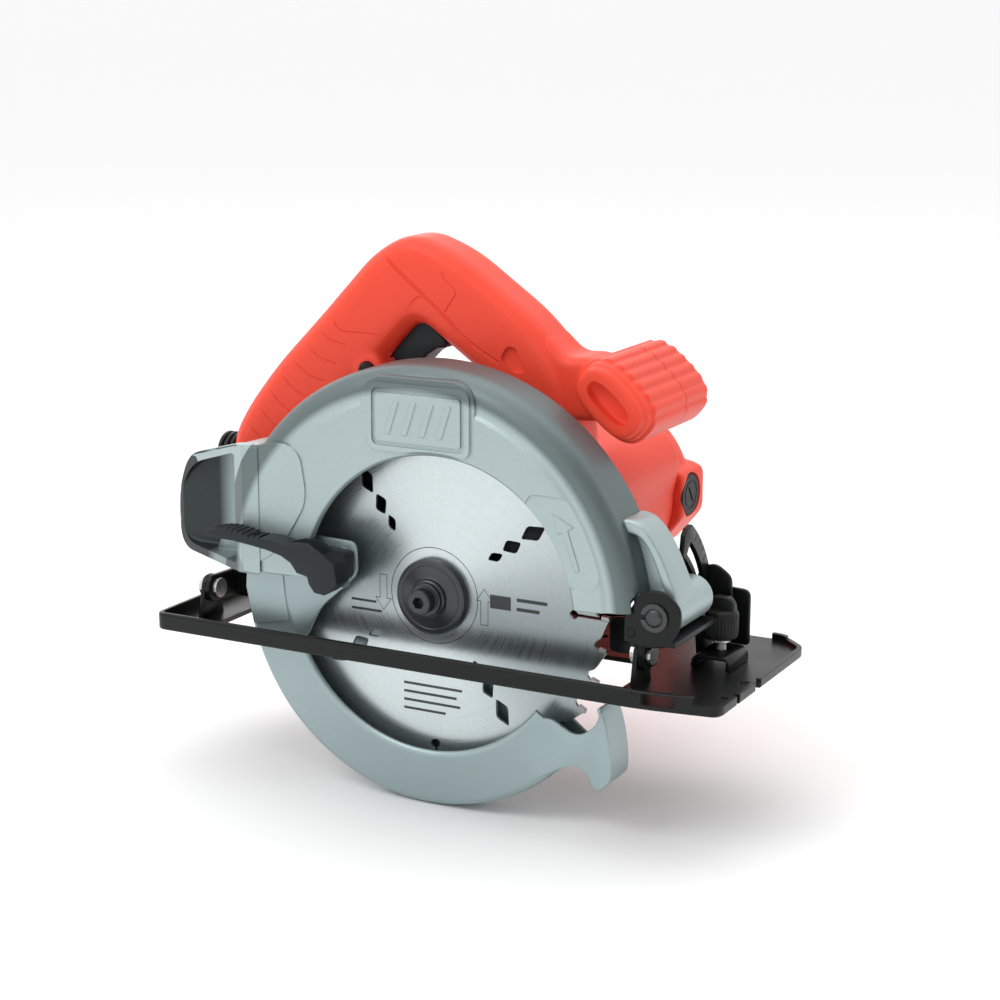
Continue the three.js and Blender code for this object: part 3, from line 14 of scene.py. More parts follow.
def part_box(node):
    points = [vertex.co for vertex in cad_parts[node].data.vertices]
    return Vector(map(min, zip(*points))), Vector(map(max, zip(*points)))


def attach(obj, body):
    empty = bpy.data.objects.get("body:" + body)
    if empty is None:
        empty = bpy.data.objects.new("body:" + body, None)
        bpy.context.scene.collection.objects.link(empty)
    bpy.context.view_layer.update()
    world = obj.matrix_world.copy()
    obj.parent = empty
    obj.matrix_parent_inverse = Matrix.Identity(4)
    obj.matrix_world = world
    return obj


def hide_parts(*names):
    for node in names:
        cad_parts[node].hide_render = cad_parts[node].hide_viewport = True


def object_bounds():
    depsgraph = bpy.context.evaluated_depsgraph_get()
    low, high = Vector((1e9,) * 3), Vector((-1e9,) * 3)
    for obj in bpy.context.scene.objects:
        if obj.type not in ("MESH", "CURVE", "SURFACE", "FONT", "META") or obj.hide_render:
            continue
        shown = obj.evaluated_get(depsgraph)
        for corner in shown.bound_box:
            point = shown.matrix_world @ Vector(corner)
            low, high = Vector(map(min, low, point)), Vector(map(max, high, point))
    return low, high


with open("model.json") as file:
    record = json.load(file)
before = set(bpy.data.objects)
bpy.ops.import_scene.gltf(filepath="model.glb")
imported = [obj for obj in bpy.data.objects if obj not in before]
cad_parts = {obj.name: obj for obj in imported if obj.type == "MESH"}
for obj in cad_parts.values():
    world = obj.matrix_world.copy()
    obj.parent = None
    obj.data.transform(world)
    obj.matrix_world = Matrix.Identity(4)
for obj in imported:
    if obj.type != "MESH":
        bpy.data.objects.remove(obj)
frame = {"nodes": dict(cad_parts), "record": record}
cad_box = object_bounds()


def middle(node):
    low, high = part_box(node)
    return (low + high) / 2


SPINDLE = Vector((middle("spindle").x, middle("blade").y, middle("spindle").z))
TO_ROW = Matrix.Translation(SPINDLE) @ Matrix.Scale(0.001, 4)


def here(point):
    """A point of the row frame in millimetres about the spindle."""
    return (Vector(point) - SPINDLE) * 1000


def corners(node):
    low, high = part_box(node)
    return here(low), here(high)


# ------------------------------------------------------ sizes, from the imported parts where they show
UPPER_R = here(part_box("upper_guard")[1]).z
UPPER_NEAR = -18.0
UPPER_FAR = 13.0
SOLE = here(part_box("shoe")[0]).z
HINGE = here(middle("depth_hinge_pin"))
AXIS = here(middle("armature_shaft"))
KNOB = here(middle("fence_knob"))
LOWER_R = 101.0
LOWER_NEAR = -11.0
LOWER_FAR = 8.6
HANDLE_Y = 50.0
LOCK_OFF = (-56, 98)
DEPTH_STUD = (-68, -2)
PIVOT_Z = -12.6  # the axis of the bevel pins
BRUSH_Y = 160
GLAND_Z = 46
FLOOR_RADIUS = 80  # metres, so that its far edge stays out of view


# ------------------------------------------------------------------ outlines
def arc(cx, cy, radius, start, end, steps=24):
    turn = math.radians(end - start) / steps
    first = math.radians(start)
    return [
        (cx + radius * math.cos(first + i * turn), cy + radius * math.sin(first + i * turn))
        for i in range(steps + 1)
    ]


def circle(cx, cy, radius, steps=48):
    return arc(cx, cy, radius, 0, 360, steps)[:-1]


def rounded(corners, steps=5):
    """An outline whose corners (x, y, radius) are rounded off."""
    points = []
    for i, corner in enumerate(corners):
        spot = Vector(corner[:2])
        radius = corner[2] if len(corner) > 2 else 0
        before = Vector(corners[i - 1][:2]) - spot
        after = Vector(corners[(i + 1) % len(corners)][:2]) - spot
        reach = min(radius, before.length * 0.48, after.length * 0.48)
        if reach < 0.1:
            points.append(tuple(spot))
            continue
        a = spot + before.normalized() * reach
        b = spot + after.normalized() * reach
        for k in range(steps + 1):
            t = k / steps
            points.append(tuple(a * (1 - t) ** 2 + spot * 2 * t * (1 - t) + b * t * t))
    return points


def grown(points, distance):
    """An outline moved outwards by a distance."""
    area = sum(
        points[i - 1][0] * points[i][1] - points[i][0] * points[i - 1][1] for i in range(len(points))
    )
    side = 1 if area > 0 else -1
    out = []
    for i, point in enumerate(points):
        a = (Vector(point) - Vector(points[i - 1])).normalized()
        b = (Vector(points[(i + 1) % len(points)]) - Vector(point)).normalized()
        normal = Vector((a.y + b.y, -a.x - b.x))
        if normal.length < 1e-6:
            out.append(point)
            continue
        normal.normalize()
        lean = max(0.5, normal.dot(Vector((a.y, -a.x))))
        out.append(tuple(Vector(point) + normal * (side * distance / lean)))
    return out


def smooth_line(points, steps=8):
    """Points on a smooth curve through the given ones."""
    ends = [points[0], *points, points[-1]]
    line = []
    for i in range(1, len(ends) - 2):
        p0, p1, p2, p3 = (Vector(p) for p in ends[i - 1 : i + 3])
        for k in range(steps):
            t = k / steps
            line.append(
                0.5
                * (
                    2 * p1
                    + (p2 - p0) * t
                    + (2 * p0 - 5 * p1 + 4 * p2 - p3) * t * t
                    + (3 * p1 - p0 - 3 * p2 + p3) * t**3
                )
            )
    line.append(Vector(points[-1]))
    return line


# ------------------------------------------------------------------ solids, in millimetres about the spindle
TURN = {
    "Y": Matrix.Identity(4),  # an outline in X and Z
    "X": Matrix(((0, 1, 0, 0), (1, 0, 0, 0), (0, 0, 1, 0), (0, 0, 0, 1))),  # in Y and Z
    "Z": Matrix(((1, 0, 0, 0), (0, 0, 1, 0), (0, 1, 0, 0), (0, 0, 0, 1))),  # in X and Y
}


def body(bm):
    """The finished mesh of a solid, merged, with its faces outwards."""
    bmesh.ops.remove_doubles(bm, verts=bm.verts, dist=0.002)
    bmesh.ops.recalc_face_normals(bm, faces=bm.faces)
    mesh = bpy.data.meshes.new("work")
    bm.to_mesh(mesh)
    bm.free()
    made = bpy.data.objects.new("work", mesh)
    bpy.context.scene.collection.objects.link(made)
    return made


def slab(points, low, high, edge=0.0, segments=2, along="Y", ends=(True, True)):
    """An outline pushed along an axis, with its rims rounded."""
    bm = bmesh.new()
    face = bm.faces.new([bm.verts.new((x, low, z)) for x, z in points])
    grown_part = bmesh.ops.extrude_face_region(bm, geom=[face], use_keep_orig=True)
    moved = [v for v in grown_part["geom"] if isinstance(v, bmesh.types.BMVert)]
    bmesh.ops.translate(bm, verts=moved, vec=(0, high - low, 0))
    if edge:
        rims = [
            e
            for e in bm.edges
            if abs(e.verts[0].co.y - e.verts[1].co.y) < 1e-6
            and ((e.verts[0].co.y == low and ends[0]) or (e.verts[0].co.y != low and ends[1]))
        ]
        bmesh.ops.bevel(
            bm, geom=rims, offset=edge, segments=segments, profile=0.5, affect="EDGES", material=-1,
            clamp_overlap=False,
        )
    bmesh.ops.transform(bm, matrix=TURN[along], verts=bm.verts)
    return body(bm)


def block(x0, x1, y0, y1, z0, z1, edge=0.0, along="Y"):
    """A bar whose rims across one axis are rounded."""
    if along == "X":
        return slab([(y0, z0), (y1, z0), (y1, z1), (y0, z1)], x0, x1, edge, along="X")
    if along == "Z":
        return slab([(x0, y0), (x1, y0), (x1, y1), (x0, y1)], z0, z1, edge, along="Z")
    return slab([(x0, z0), (x1, z0), (x1, z1), (x0, z1)], y0, y1, edge)


def turned(profile, centre=(0, 0), steps=64, start=0, angle=360, along="Y"):
    """A profile of (radius, height) turned about an axis through centre."""
    bm = bmesh.new()
    spots = [bm.verts.new((r, y, 0)) for r, y in profile]
    edges = [bm.edges.new(pair) for pair in zip(spots, spots[1:])]
    if profile[0][0] > 0 or profile[-1][0] > 0 or angle < 360:
        edges.append(bm.edges.new((spots[-1], spots[0])))
    bmesh.ops.rotate(bm, verts=bm.verts, cent=(0, 0, 0), matrix=Matrix.Rotation(-math.radians(start), 3, "Y"))
    bmesh.ops.spin(
        bm,
        geom=spots + edges,
        cent=(0, 0, 0),
        axis=(0, -1, 0),
        angle=math.radians(angle),
        steps=steps,
        use_merge=angle >= 360,
    )
    bmesh.ops.remove_doubles(bm, verts=bm.verts, dist=0.002)
    open_edges = [e for e in bm.edges if e.is_boundary]
    if open_edges:
        bmesh.ops.holes_fill(bm, edges=open_edges)
    place = Matrix.Translation((centre[0], 0, centre[1]))
    bmesh.ops.transform(bm, matrix=TURN[along] @ place if along == "Y" else TURN[along], verts=bm.verts)
    if along != "Y":
        shift = (0, centre[0], centre[1]) if along == "X" else (centre[0], centre[1], 0)
        bmesh.ops.translate(bm, verts=bm.verts, vec=shift)
    return body(bm)


def rod(radius, low, high, centre=(0, 0), along="Y", edge=0.0, steps=40):
    e = edge
    profile = [(0, low), (radius - e, low), (radius, low + e), (radius, high - e), (radius - e, high),
        (0, high)]
    if not e:
        profile = [(0, low), (radius, low), (radius, high), (0, high)]
    return turned(profile, centre, steps, along=along)


def thread(points, radius, sides=8):
    """A round bead along a line of points."""
    curve = bpy.data.curves.new("work", "CURVE")
    curve.dimensions = "3D"
    curve.bevel_depth = radius
    curve.bevel_resolution = max(1, sides // 4 - 1)
    curve.use_fill_caps = True
    spline = curve.splines.new("POLY")
    spline.points.add(len(points) - 1)
    for spot, point in zip(spline.points, points):
        spot.co = (*point, 1)
    drawn = bpy.data.objects.new("work", curve)
    bpy.context.scene.collection.objects.link(drawn)
    bpy.context.view_layer.update()
    mesh = bpy.data.meshes.new_from_object(drawn)
    bpy.data.objects.remove(drawn)
    bm = bmesh.new()
    bm.from_mesh(mesh)
    return body(bm)


def applied(made):
    bpy.context.view_layer.update()
    graph = bpy.context.evaluated_depsgraph_get()
    mesh = bpy.data.meshes.new_from_object(made.evaluated_get(graph))
    made.modifiers.clear()
    made.data = mesh
    return made


def worked(base, others, operation):
    """Cuts, joins or keeps what two solids share, and clears the others away."""
    for other in others:
        step = base.modifiers.new("step", "BOOLEAN")
        step.operation = operation
        step.solver = "MANIFOLD"
        step.object = other
    applied(base)
    for other in others:
        bpy.data.objects.remove(other)
    return base


def cut(base, *others):
    return worked(base, others, "DIFFERENCE")


def join(base, *others):
    return worked(base, others, "UNION")


def common(base, *others):
    return worked(base, others, "INTERSECT")


def moulded(base, grain, passes):
    """Melts joined solids into one soft moulding."""
    melt = base.modifiers.new("melt", "REMESH")
    melt.mode = "VOXEL"
    melt.voxel_size = grain
    soften = base.modifiers.new("soften", "SMOOTH")
    soften.factor = 0.5
    soften.iterations = passes
    return applied(base)


def moved(made, matrix):
    made.data.transform(matrix)
    return made


def turned_about(made, degrees, axis, centre):
    spot = Vector(centre)
    return moved(
        made,
        Matrix.Translation(spot) @ Matrix.Rotation(math.radians(degrees), 4,
            axis) @ Matrix.Translation(-spot),
    )


# ------------------------------------------------------------------ material sheets
class Value:
    """A socket of a material, with Python's signs for its maths."""

    def __init__(self, sheet, socket):
        self.sheet = sheet
        self.socket = socket

    def maths(self, operation, *inputs):
        return self.sheet.node("ShaderNodeMath", {"operation": operation}, dict(enumerate(inputs)))

    def __add__(self, other):
        return self.maths("ADD", self, other)

    def __sub__(self, other):
        return self.maths("SUBTRACT", self, other)

    def __rsub__(self, other):
        return self.maths("SUBTRACT", other, self)

    def __mul__(self, other):
        return self.maths("MULTIPLY", self, other)

    def __truediv__(self, other):
        return self.maths("DIVIDE", self, other)

    def __pow__(self, other):
        return self.maths("POWER", self, other)

    def __gt__(self, other):
        return self.maths("GREATER_THAN", self, other)

    def __lt__(self, other):
        return self.maths("LESS_THAN", self, other)

    def __abs__(self):
        return self.maths("ABSOLUTE", self)

    __radd__ = __add__
    __rmul__ = __mul__

    def at_most(self, other):
        return self.maths("MINIMUM", self, other)

    def at_least(self, other):
        return self.maths("MAXIMUM", self, other)

    def between(self, low, high):
        return (self > low) * (self < high)


class Sheet:
    """One material and its nodes, or the nodes of a tree that is there already."""

    def __init__(self, name, tree=None):
        self.tree = tree
        if tree is None:
            self.material = bpy.data.materials.new(name)
            self.material.use_nodes = True
            self.tree = self.material.node_tree
            self.shader = self.tree.nodes["Principled BSDF"]

    def node(self, kind, settings=None, inputs=None, output=0):
        made = self.tree.nodes.new(kind)
        for key, value in (settings or {}).items():
            if key == "stops":
                ramp = made.color_ramp.elements
                while len(ramp) < len(value):
                    ramp.new(1.0)
                for stop, (position, colour) in zip(ramp, value):
                    stop.position = position
                    stop.color = (*colour, 1)
            else:
                setattr(made, key, value)
        for key, value in (inputs or {}).items():
            self.feed(made.inputs[key], value)
        return Value(self, made.outputs[output])

    def feed(self, socket, value):
        if isinstance(value, Value):
            self.tree.links.new(value.socket, socket)
        else:
            socket.default_value = value

    def set(self, **inputs):
        for key, value in inputs.items():
            self.feed(self.shader.inputs[key.replace("_", " ")], value)
        return self.material

    def place(self, centre=None, stretch=(1, 1, 1)):
        """Object coordinates, centred and stretched."""
        spot = self.node("ShaderNodeTexCoord", output="Object")
        if centre is None and stretch == (1, 1, 1):
            return spot
        start = -Vector(centre or (0, 0, 0))
        start = Vector(a * b for a, b in zip(start, stretch))
        return self.node(
            "ShaderNodeMapping", {}, {"Vector": spot, "Location": tuple(start), "Scale": stretch}
        )

    def noise(self, vector, scale, detail=3.0, rough=0.55):
        inputs = {"Vector": vector, "Scale": scale, "Detail": detail, "Roughness": rough}
        return self.node("ShaderNodeTexNoise", {}, inputs)

    def parts(self, vector):
        split = self.tree.nodes.new("ShaderNodeSeparateXYZ")
        self.feed(split.inputs[0], vector)
        return [Value(self, split.outputs[i]) for i in range(3)]

    def joined(self, x, y, z):
        return self.node("ShaderNodeCombineXYZ", {}, {0: x, 1: y, 2: z})

    def polar(self, centre):
        """Distance from the Y axis through centre, and the angle round it, in metres and radians."""
        x, _, z = self.parts(self.place(centre))
        radius = (x * x + z * z) ** 0.5
        return radius, z.maths("ARCTAN2", z, x)

    def mix(self, share, first, second):
        node = self.tree.nodes.new("ShaderNodeMix")
        node.data_type = "RGBA"
        for key, value in (("Factor_Float", share), ("A_Color", first), ("B_Color", second)):
            socket = next(s for s in node.inputs if s.identifier == key)
            if isinstance(value, tuple):
                value = (*value, 1)
            self.feed(socket, value)
        return Value(self, next(s for s in node.outputs if s.identifier == "Result_Color"))

    def soft_edges(self, radius):
        return self.node("ShaderNodeBevel", {"samples": 4}, {"Radius": radius})

    def bump(self, height, distance, strength=1.0, normal=None):
        inputs = {"Height": height, "Distance": distance, "Strength": strength}
        if normal is not None:
            inputs["Normal"] = normal
        return self.node("ShaderNodeBump", {}, inputs)


def tint(colour, share):
    return tuple(c * share for c in colour)


def cast_metal(name, colour, grain, rough, speckle, inside=None):
    """Cast or pressed aluminium; inside(sheet) gives where painted shade, with some dust, darkens it, and
    with it the sloped shoulder band gets a painted dark reflection.
    """
    s = Sheet(name)
    spot = s.place()
    sand = s.noise(spot, grain, 5, 0.65)
    cloud = s.noise(spot, 38, 3)
    pits = s.noise(spot, grain * 0.45, 2)
    shade = (sand - 0.5) * speckle + (cloud - 0.5) * 0.25 + 0.5
    skin = s.mix(shade, tint(colour, 0.86), tint(colour, 1.1))
    if inside:
        radius = s.polar(SPINDLE)[0]
        # Painted dark reflection: the sloped shoulder band, radius 99.5 to 112.6 mm about the spindle, is
        # darkened.
        shoulder = ((radius - 0.0995) * 300).at_least(0.0).at_most(1.0) * (radius < 0.1126)
        skin = s.mix(shoulder * 0.72, skin, (0.045, 0.06, 0.063))
        # Painted shade, with some dust: where inside(sheet) is set, the casting is darkened almost to black.
        skin = s.mix(inside(s) * 0.94, skin, (0.012, 0.015, 0.017))
    s.set(
        Base_Color=skin, Metallic=0.66,
        Roughness=(sand - 0.5) * 0.22 + (cloud - 0.5) * 0.12 + rough,
        Normal=s.bump(sand * 0.7 + pits * 0.5, 0.00022, 0.55, s.soft_edges(0.0006)),
    )
    return s.material


def drum_inside(s):
    """Inner faces of the fixed guard round the blade: the mask for painted shade, with some dust."""
    x, y, z = s.parts(s.place(SPINDLE))
    within = y.between((UPPER_NEAR + 2.3) * 0.001, (UPPER_FAR - 2.3) * 0.001)
    return within * ((x * x + z * z) ** 0.5 < (UPPER_R - 14) * 0.001)


def chute_inside(s):
    """The chute's walls, for painted shade with some dust: darkest on the outer side and under the roof."""
    x, _, z = s.parts(s.place(SPINDLE))
    side = ((x * -1 - 0.119) * 90).at_least(0.0).at_most(1.0)
    return side.at_least((z > 0.06) * 0.8).at_least(0.3)


def ground_steel(name, centre):
    """Plate ground round its own centre."""
    s = Sheet(name)
    radius, angle = s.polar(centre)
    rings = s.noise(s.joined(radius * 1500, angle * 1.2, 0.0), 1.0, 3)
    rays = s.noise(s.joined(radius * 14, angle * 34, 0.0), 1.0, 2)
    fine = s.noise(s.place(), 900, 2)
    shade = (rings - 0.5) * 0.55 + (rays - 0.5) * 0.3 + (fine - 0.5) * 0.2 + 0.5
    return s, radius, angle, rings, shade


def blade_metal(colour):
    s, radius, angle, rings, shade = ground_steel("blade_steel_ground", SPINDLE)
    x, _, z = s.parts(s.place(SPINDLE))
    mm = 0.001

    def bar(x0, x1, z0, z1):
        return x.between(x0 * mm, x1 * mm) * z.between(z0 * mm, z1 * mm)

    ink = radius.between(0.0232, 0.0236)
    for rank, (left, right) in enumerate(((-17, 15), (-17, 12), (-17, 14), (-17, 6))):
        low = -46 - rank * 4.2
        ink = ink.at_least(bar(left, right, low, low + 1.3))
    ink = ink.at_least(bar(-18, 22, -32.5, -30.2)).at_least(bar(30, 41, -2, 4.6))
    ink = ink.at_least(bar(44, 60, 2.9, 4.6)).at_least(bar(44, 56, -1.6, 0.1))
    ink = ink.at_least(bar(-46, -32, -8, -6.8)).at_least(bar(-46, -29, -12.4, -11.2))

    def arrow(cx, cz, way):
        """Outline of a broad arrow, as the turning direction."""
        dx = abs(x - cx * mm)
        dz = (z - cz * mm) * way
        shaft = (dx < 2.1 * mm) * dz.between(-9 * mm, 3 * mm)
        inner = (dx < 1.75 * mm) * dz.between(-8.65 * mm, 3.3 * mm)
        head = dz.between(2.6 * mm, 9 * mm) * ((dx - (9 * mm - dz) * 0.72) < 0)
        inner_head = dz.between(2.95 * mm, 8.5 * mm) * ((dx - (8.45 * mm - dz) * 0.72) < 0)
        return (shaft.at_least(head) - inner.at_least(inner_head)).at_least(0.0)

    ink = ink.at_least(arrow(27, -2, 1)).at_least(arrow(-28, -2, -1))
    heat = ((radius - 0.084) * 90).at_least(0.0).at_most(1.0)
    steel = s.mix(shade, tint(colour, 0.78), tint(colour, 1.14))
    # Painted reflection: two dark lobes across the plate, by angle about the spindle, stand for the ground
    # steel's radial sheen.
    painted_reflection = angle.maths("COSINE", angle + 0.2)
    painted_reflection = painted_reflection * painted_reflection * painted_reflection * painted_reflection
    steel = s.mix(painted_reflection * 0.62, steel, (0.055, 0.075, 0.085))
    steel = s.mix(heat * 0.35, steel, (0.30, 0.27, 0.23))
    s.set(
        Base_Color=s.mix(ink * 0.93, steel, (0.012, 0.013, 0.014)),
        Metallic=(1 - ink) * 0.9,
        Roughness=(rings - 0.5) * 0.22 + ink * 0.3 + 0.3,
        Anisotropic=0.35,
        Normal=s.bump(rings, 0.00003, 0.35, s.soft_edges(0.00025)),
    )
    return s.material


def machined_metal(name, colour, rough, metal=0.95, ring=900):
    s = Sheet(name)
    spot = s.place()
    swirl = s.noise(s.place(None, (0.15, 1, 0.15)), ring, 3)
    cloud = s.noise(spot, 90, 3)
    shade = (swirl - 0.5) * 0.5 + (cloud - 0.5) * 0.5 + 0.5
    s.set(
        Base_Color=s.mix(shade, tint(colour, 0.8), tint(colour, 1.18)),
        Metallic=metal,
        Roughness=(cloud - 0.5) * 0.2 + rough,
        Normal=s.bump(swirl * 0.6 + cloud * 0.2, 0.00005, 0.5, s.soft_edges(0.0003)),
    )
    return s.material


def plastic(name, colour, rough, grain=2600, depth=0.00006, edge=0.0006, shine=0.25):
    """Moulding with a spark-eroded skin."""
    s = Sheet(name)
    spot = s.place()
    skin = s.noise(spot, grain, 3, 0.6)
    flow = s.noise(spot, 22, 3)
    scuff = s.noise(s.place(None, (1, 0.25, 1)), 420, 4, 0.7)
    worn = ((scuff - 0.66) * 6).at_least(0.0).at_most(1.0)
    shade = (skin - 0.5) * 0.35 + (flow - 0.5) * 0.5 + 0.5
    base = s.mix(shade, tint(colour, 0.9), tint(colour, 1.1))
    s.set(
        Base_Color=s.mix(worn * 0.10, base, tuple(min(1, c * 1.35 + 0.03) for c in colour)),
        Roughness=(skin - 0.5) * 0.2 + (flow - 0.5) * 0.08 + worn * 0.06 + rough,
        Normal=s.bump(skin, depth, 0.6, s.soft_edges(edge)),
    )
    s.shader.inputs["Specular IOR Level"].default_value = shine
    return s.material


def coated_metal(name, colour, rough):
    """Gloss coating on pressed sheet, with a faint orange peel and bright rubbed spots."""
    s = Sheet(name)
    spot = s.place()
    peel = s.noise(spot, 520, 2)
    dust = s.noise(spot, 2400, 3)
    cloud = s.noise(spot, 45, 3)
    rub = ((s.noise(spot, 160, 5, 0.7) - 0.67) * 9).at_least(0.0).at_most(1.0)
    s.shader.inputs["Specular IOR Level"].default_value = 0.22
    base = s.mix((cloud - 0.5) * 0.8 + 0.5, tint(colour, 0.7), tint(colour, 1.5))
    s.set(
        Base_Color=s.mix(rub * 0.16, base, (0.09, 0.09, 0.09)),
        Metallic=0.15,
        Roughness=(dust - 0.5) * 0.14 + (cloud - 0.5) * 0.14 + rough,
        Coat_Weight=0.12, Coat_Roughness=0.2,
        Normal=s.bump(peel * 0.8 + dust * 0.15, 0.00008, 0.4, s.soft_edges(0.0007)),
    )
    return s.material


def wound_copper(name, colour):
    s = Sheet(name)
    spot = s.place()
    wire = s.node(
        "ShaderNodeTexWave", {"bands_direction": "Y"}, {"Vector": spot, "Scale": 260.0, "Distortion": 1.5}
    )
    cloud = s.noise(spot, 120, 3)
    s.set(
        Base_Color=s.mix(wire * 0.6 + cloud * 0.4, tint(colour, 0.5), colour),
        Metallic=0.8,
        Roughness=cloud * 0.25 + 0.25,
        Normal=s.bump(wire, 0.0002, 0.5),
    )
    return s.material


ORANGE = (0.86, 0.07, 0.036)
SILVER = (0.40, 0.485, 0.49)
FINISHES = {
    "cast_aluminium": cast_metal("cast_aluminium_fine", SILVER, 1150, 0.42, 0.9),
    "guard_aluminium": cast_metal("guard_aluminium_smooth", (0.345, 0.43, 0.44), 1900, 0.36, 0.4),
    "orange_plastic": plastic("orange_plastic_skin", ORANGE, 0.40),
    "grey_plastic": plastic("grey_plastic_skin", (0.017, 0.021, 0.024), 0.5, 1900),
    "black_plastic": plastic("black_plastic_skin", (0.012, 0.0125, 0.013), 0.38, 2100),
    "black_paint": coated_metal("black_coating", (0.006, 0.0064, 0.0066), 0.36),
    "blade_steel": blade_metal((0.62, 0.69, 0.70)),
    "bright_steel": machined_metal("bright_steel_turned", (0.60, 0.60, 0.60), 0.28),
    "dark_steel": machined_metal("dark_steel_turned", (0.062, 0.066, 0.07), 0.36, 0.7),
    "copper": wound_copper("copper_wound", (0.72, 0.33, 0.16)),
    "carbon": plastic("carbon_pressed", (0.02, 0.02, 0.021), 0.6, 1500),
}
CARBIDE = machined_metal("carbide_tip", (0.33, 0.33, 0.34), 0.32)
# Guard casting: painted shade, with some dust, inside the drum, and a painted dark reflection on the shoulder
# band.
GUARD_CASTING = cast_metal("guard_casting_fine", SILVER, 1150, 0.42, 0.9, drum_inside)
# Chute walls: painted shade, with some dust, from chute_inside.
CHUTE_WALLS = cast_metal("chute_walls_dust_and_shade", SILVER, 1150, 0.5, 0.9, chute_inside)

SLOT_OF = {part["node"]: part["material_slot"] for part in frame["record"]["subparts"]}
for node, shown in frame["nodes"].items():
    shown.data.materials.clear()
    shown.data.materials.append(FINISHES[SLOT_OF[node]])


def finished(made, name, body_name, slot, *stands_for, crease=32, material=None):
    """Puts a piece in the row frame with its finish, its body and what it stands for."""
    made.name = name
    made.data.name = name
    made.data.transform(TO_ROW)
    mesh = made.data
    mesh.polygons.foreach_set("use_smooth", [True] * len(mesh.polygons))
    mesh.set_sharp_from_angle(angle=math.radians(crease))
    mesh.materials.clear()
    mesh.materials.append(material or FINISHES[slot])
    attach(made, body_name)
    if stands_for:
        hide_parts(*stands_for)
    return made


# ------------------------------------------------------------------ upper guard
ARCH_X, ARCH_R = 10.0, 71.3
CHUTE_TOP, CHUTE_BOTTOM = 66.0, 4.0
CHUTE_ROOT = UPPER_R * math.cos(math.radians(144))
MOUTH_NEAR, MOUTH_FAR = (-98.0, UPPER_NEAR), (-157.0, UPPER_FAR)


def chute_side(grow):
    return rounded(
        [
            (CHUTE_ROOT + 14, CHUTE_TOP + grow, 0), (CHUTE_ROOT - 6, CHUTE_TOP + grow, 8),
            (-145 - grow, 51 + grow, 11), (-158, 28, 14), (-154 - grow, CHUTE_BOTTOM - grow, 11),
            (CHUTE_ROOT + 14, CHUTE_BOTTOM - grow, 0),
        ],
        8,
    )


def behind_mouth(shift, depth=40):
    """The wedge behind the chute's oblique mouth, moved back by a shift."""
    (x0, y0), (x1, y1) = MOUTH_NEAR, MOUTH_FAR
    run = Vector((x1 - x0, y1 - y0)).normalized()
    out = Vector((run.y, -run.x)) if run.x < 0 else Vector((-run.y, run.x))
    if out.x > 0:
        out = -out
    a = Vector(MOUTH_NEAR) - run * 12 + out * shift
    b = Vector(MOUTH_FAR) + run * 12 + out * shift
    far = out * depth
    return slab([tuple(p) for p in (a, b, b + far, a + far)], CHUTE_BOTTOM - 14, CHUTE_TOP + 14, along="Z")


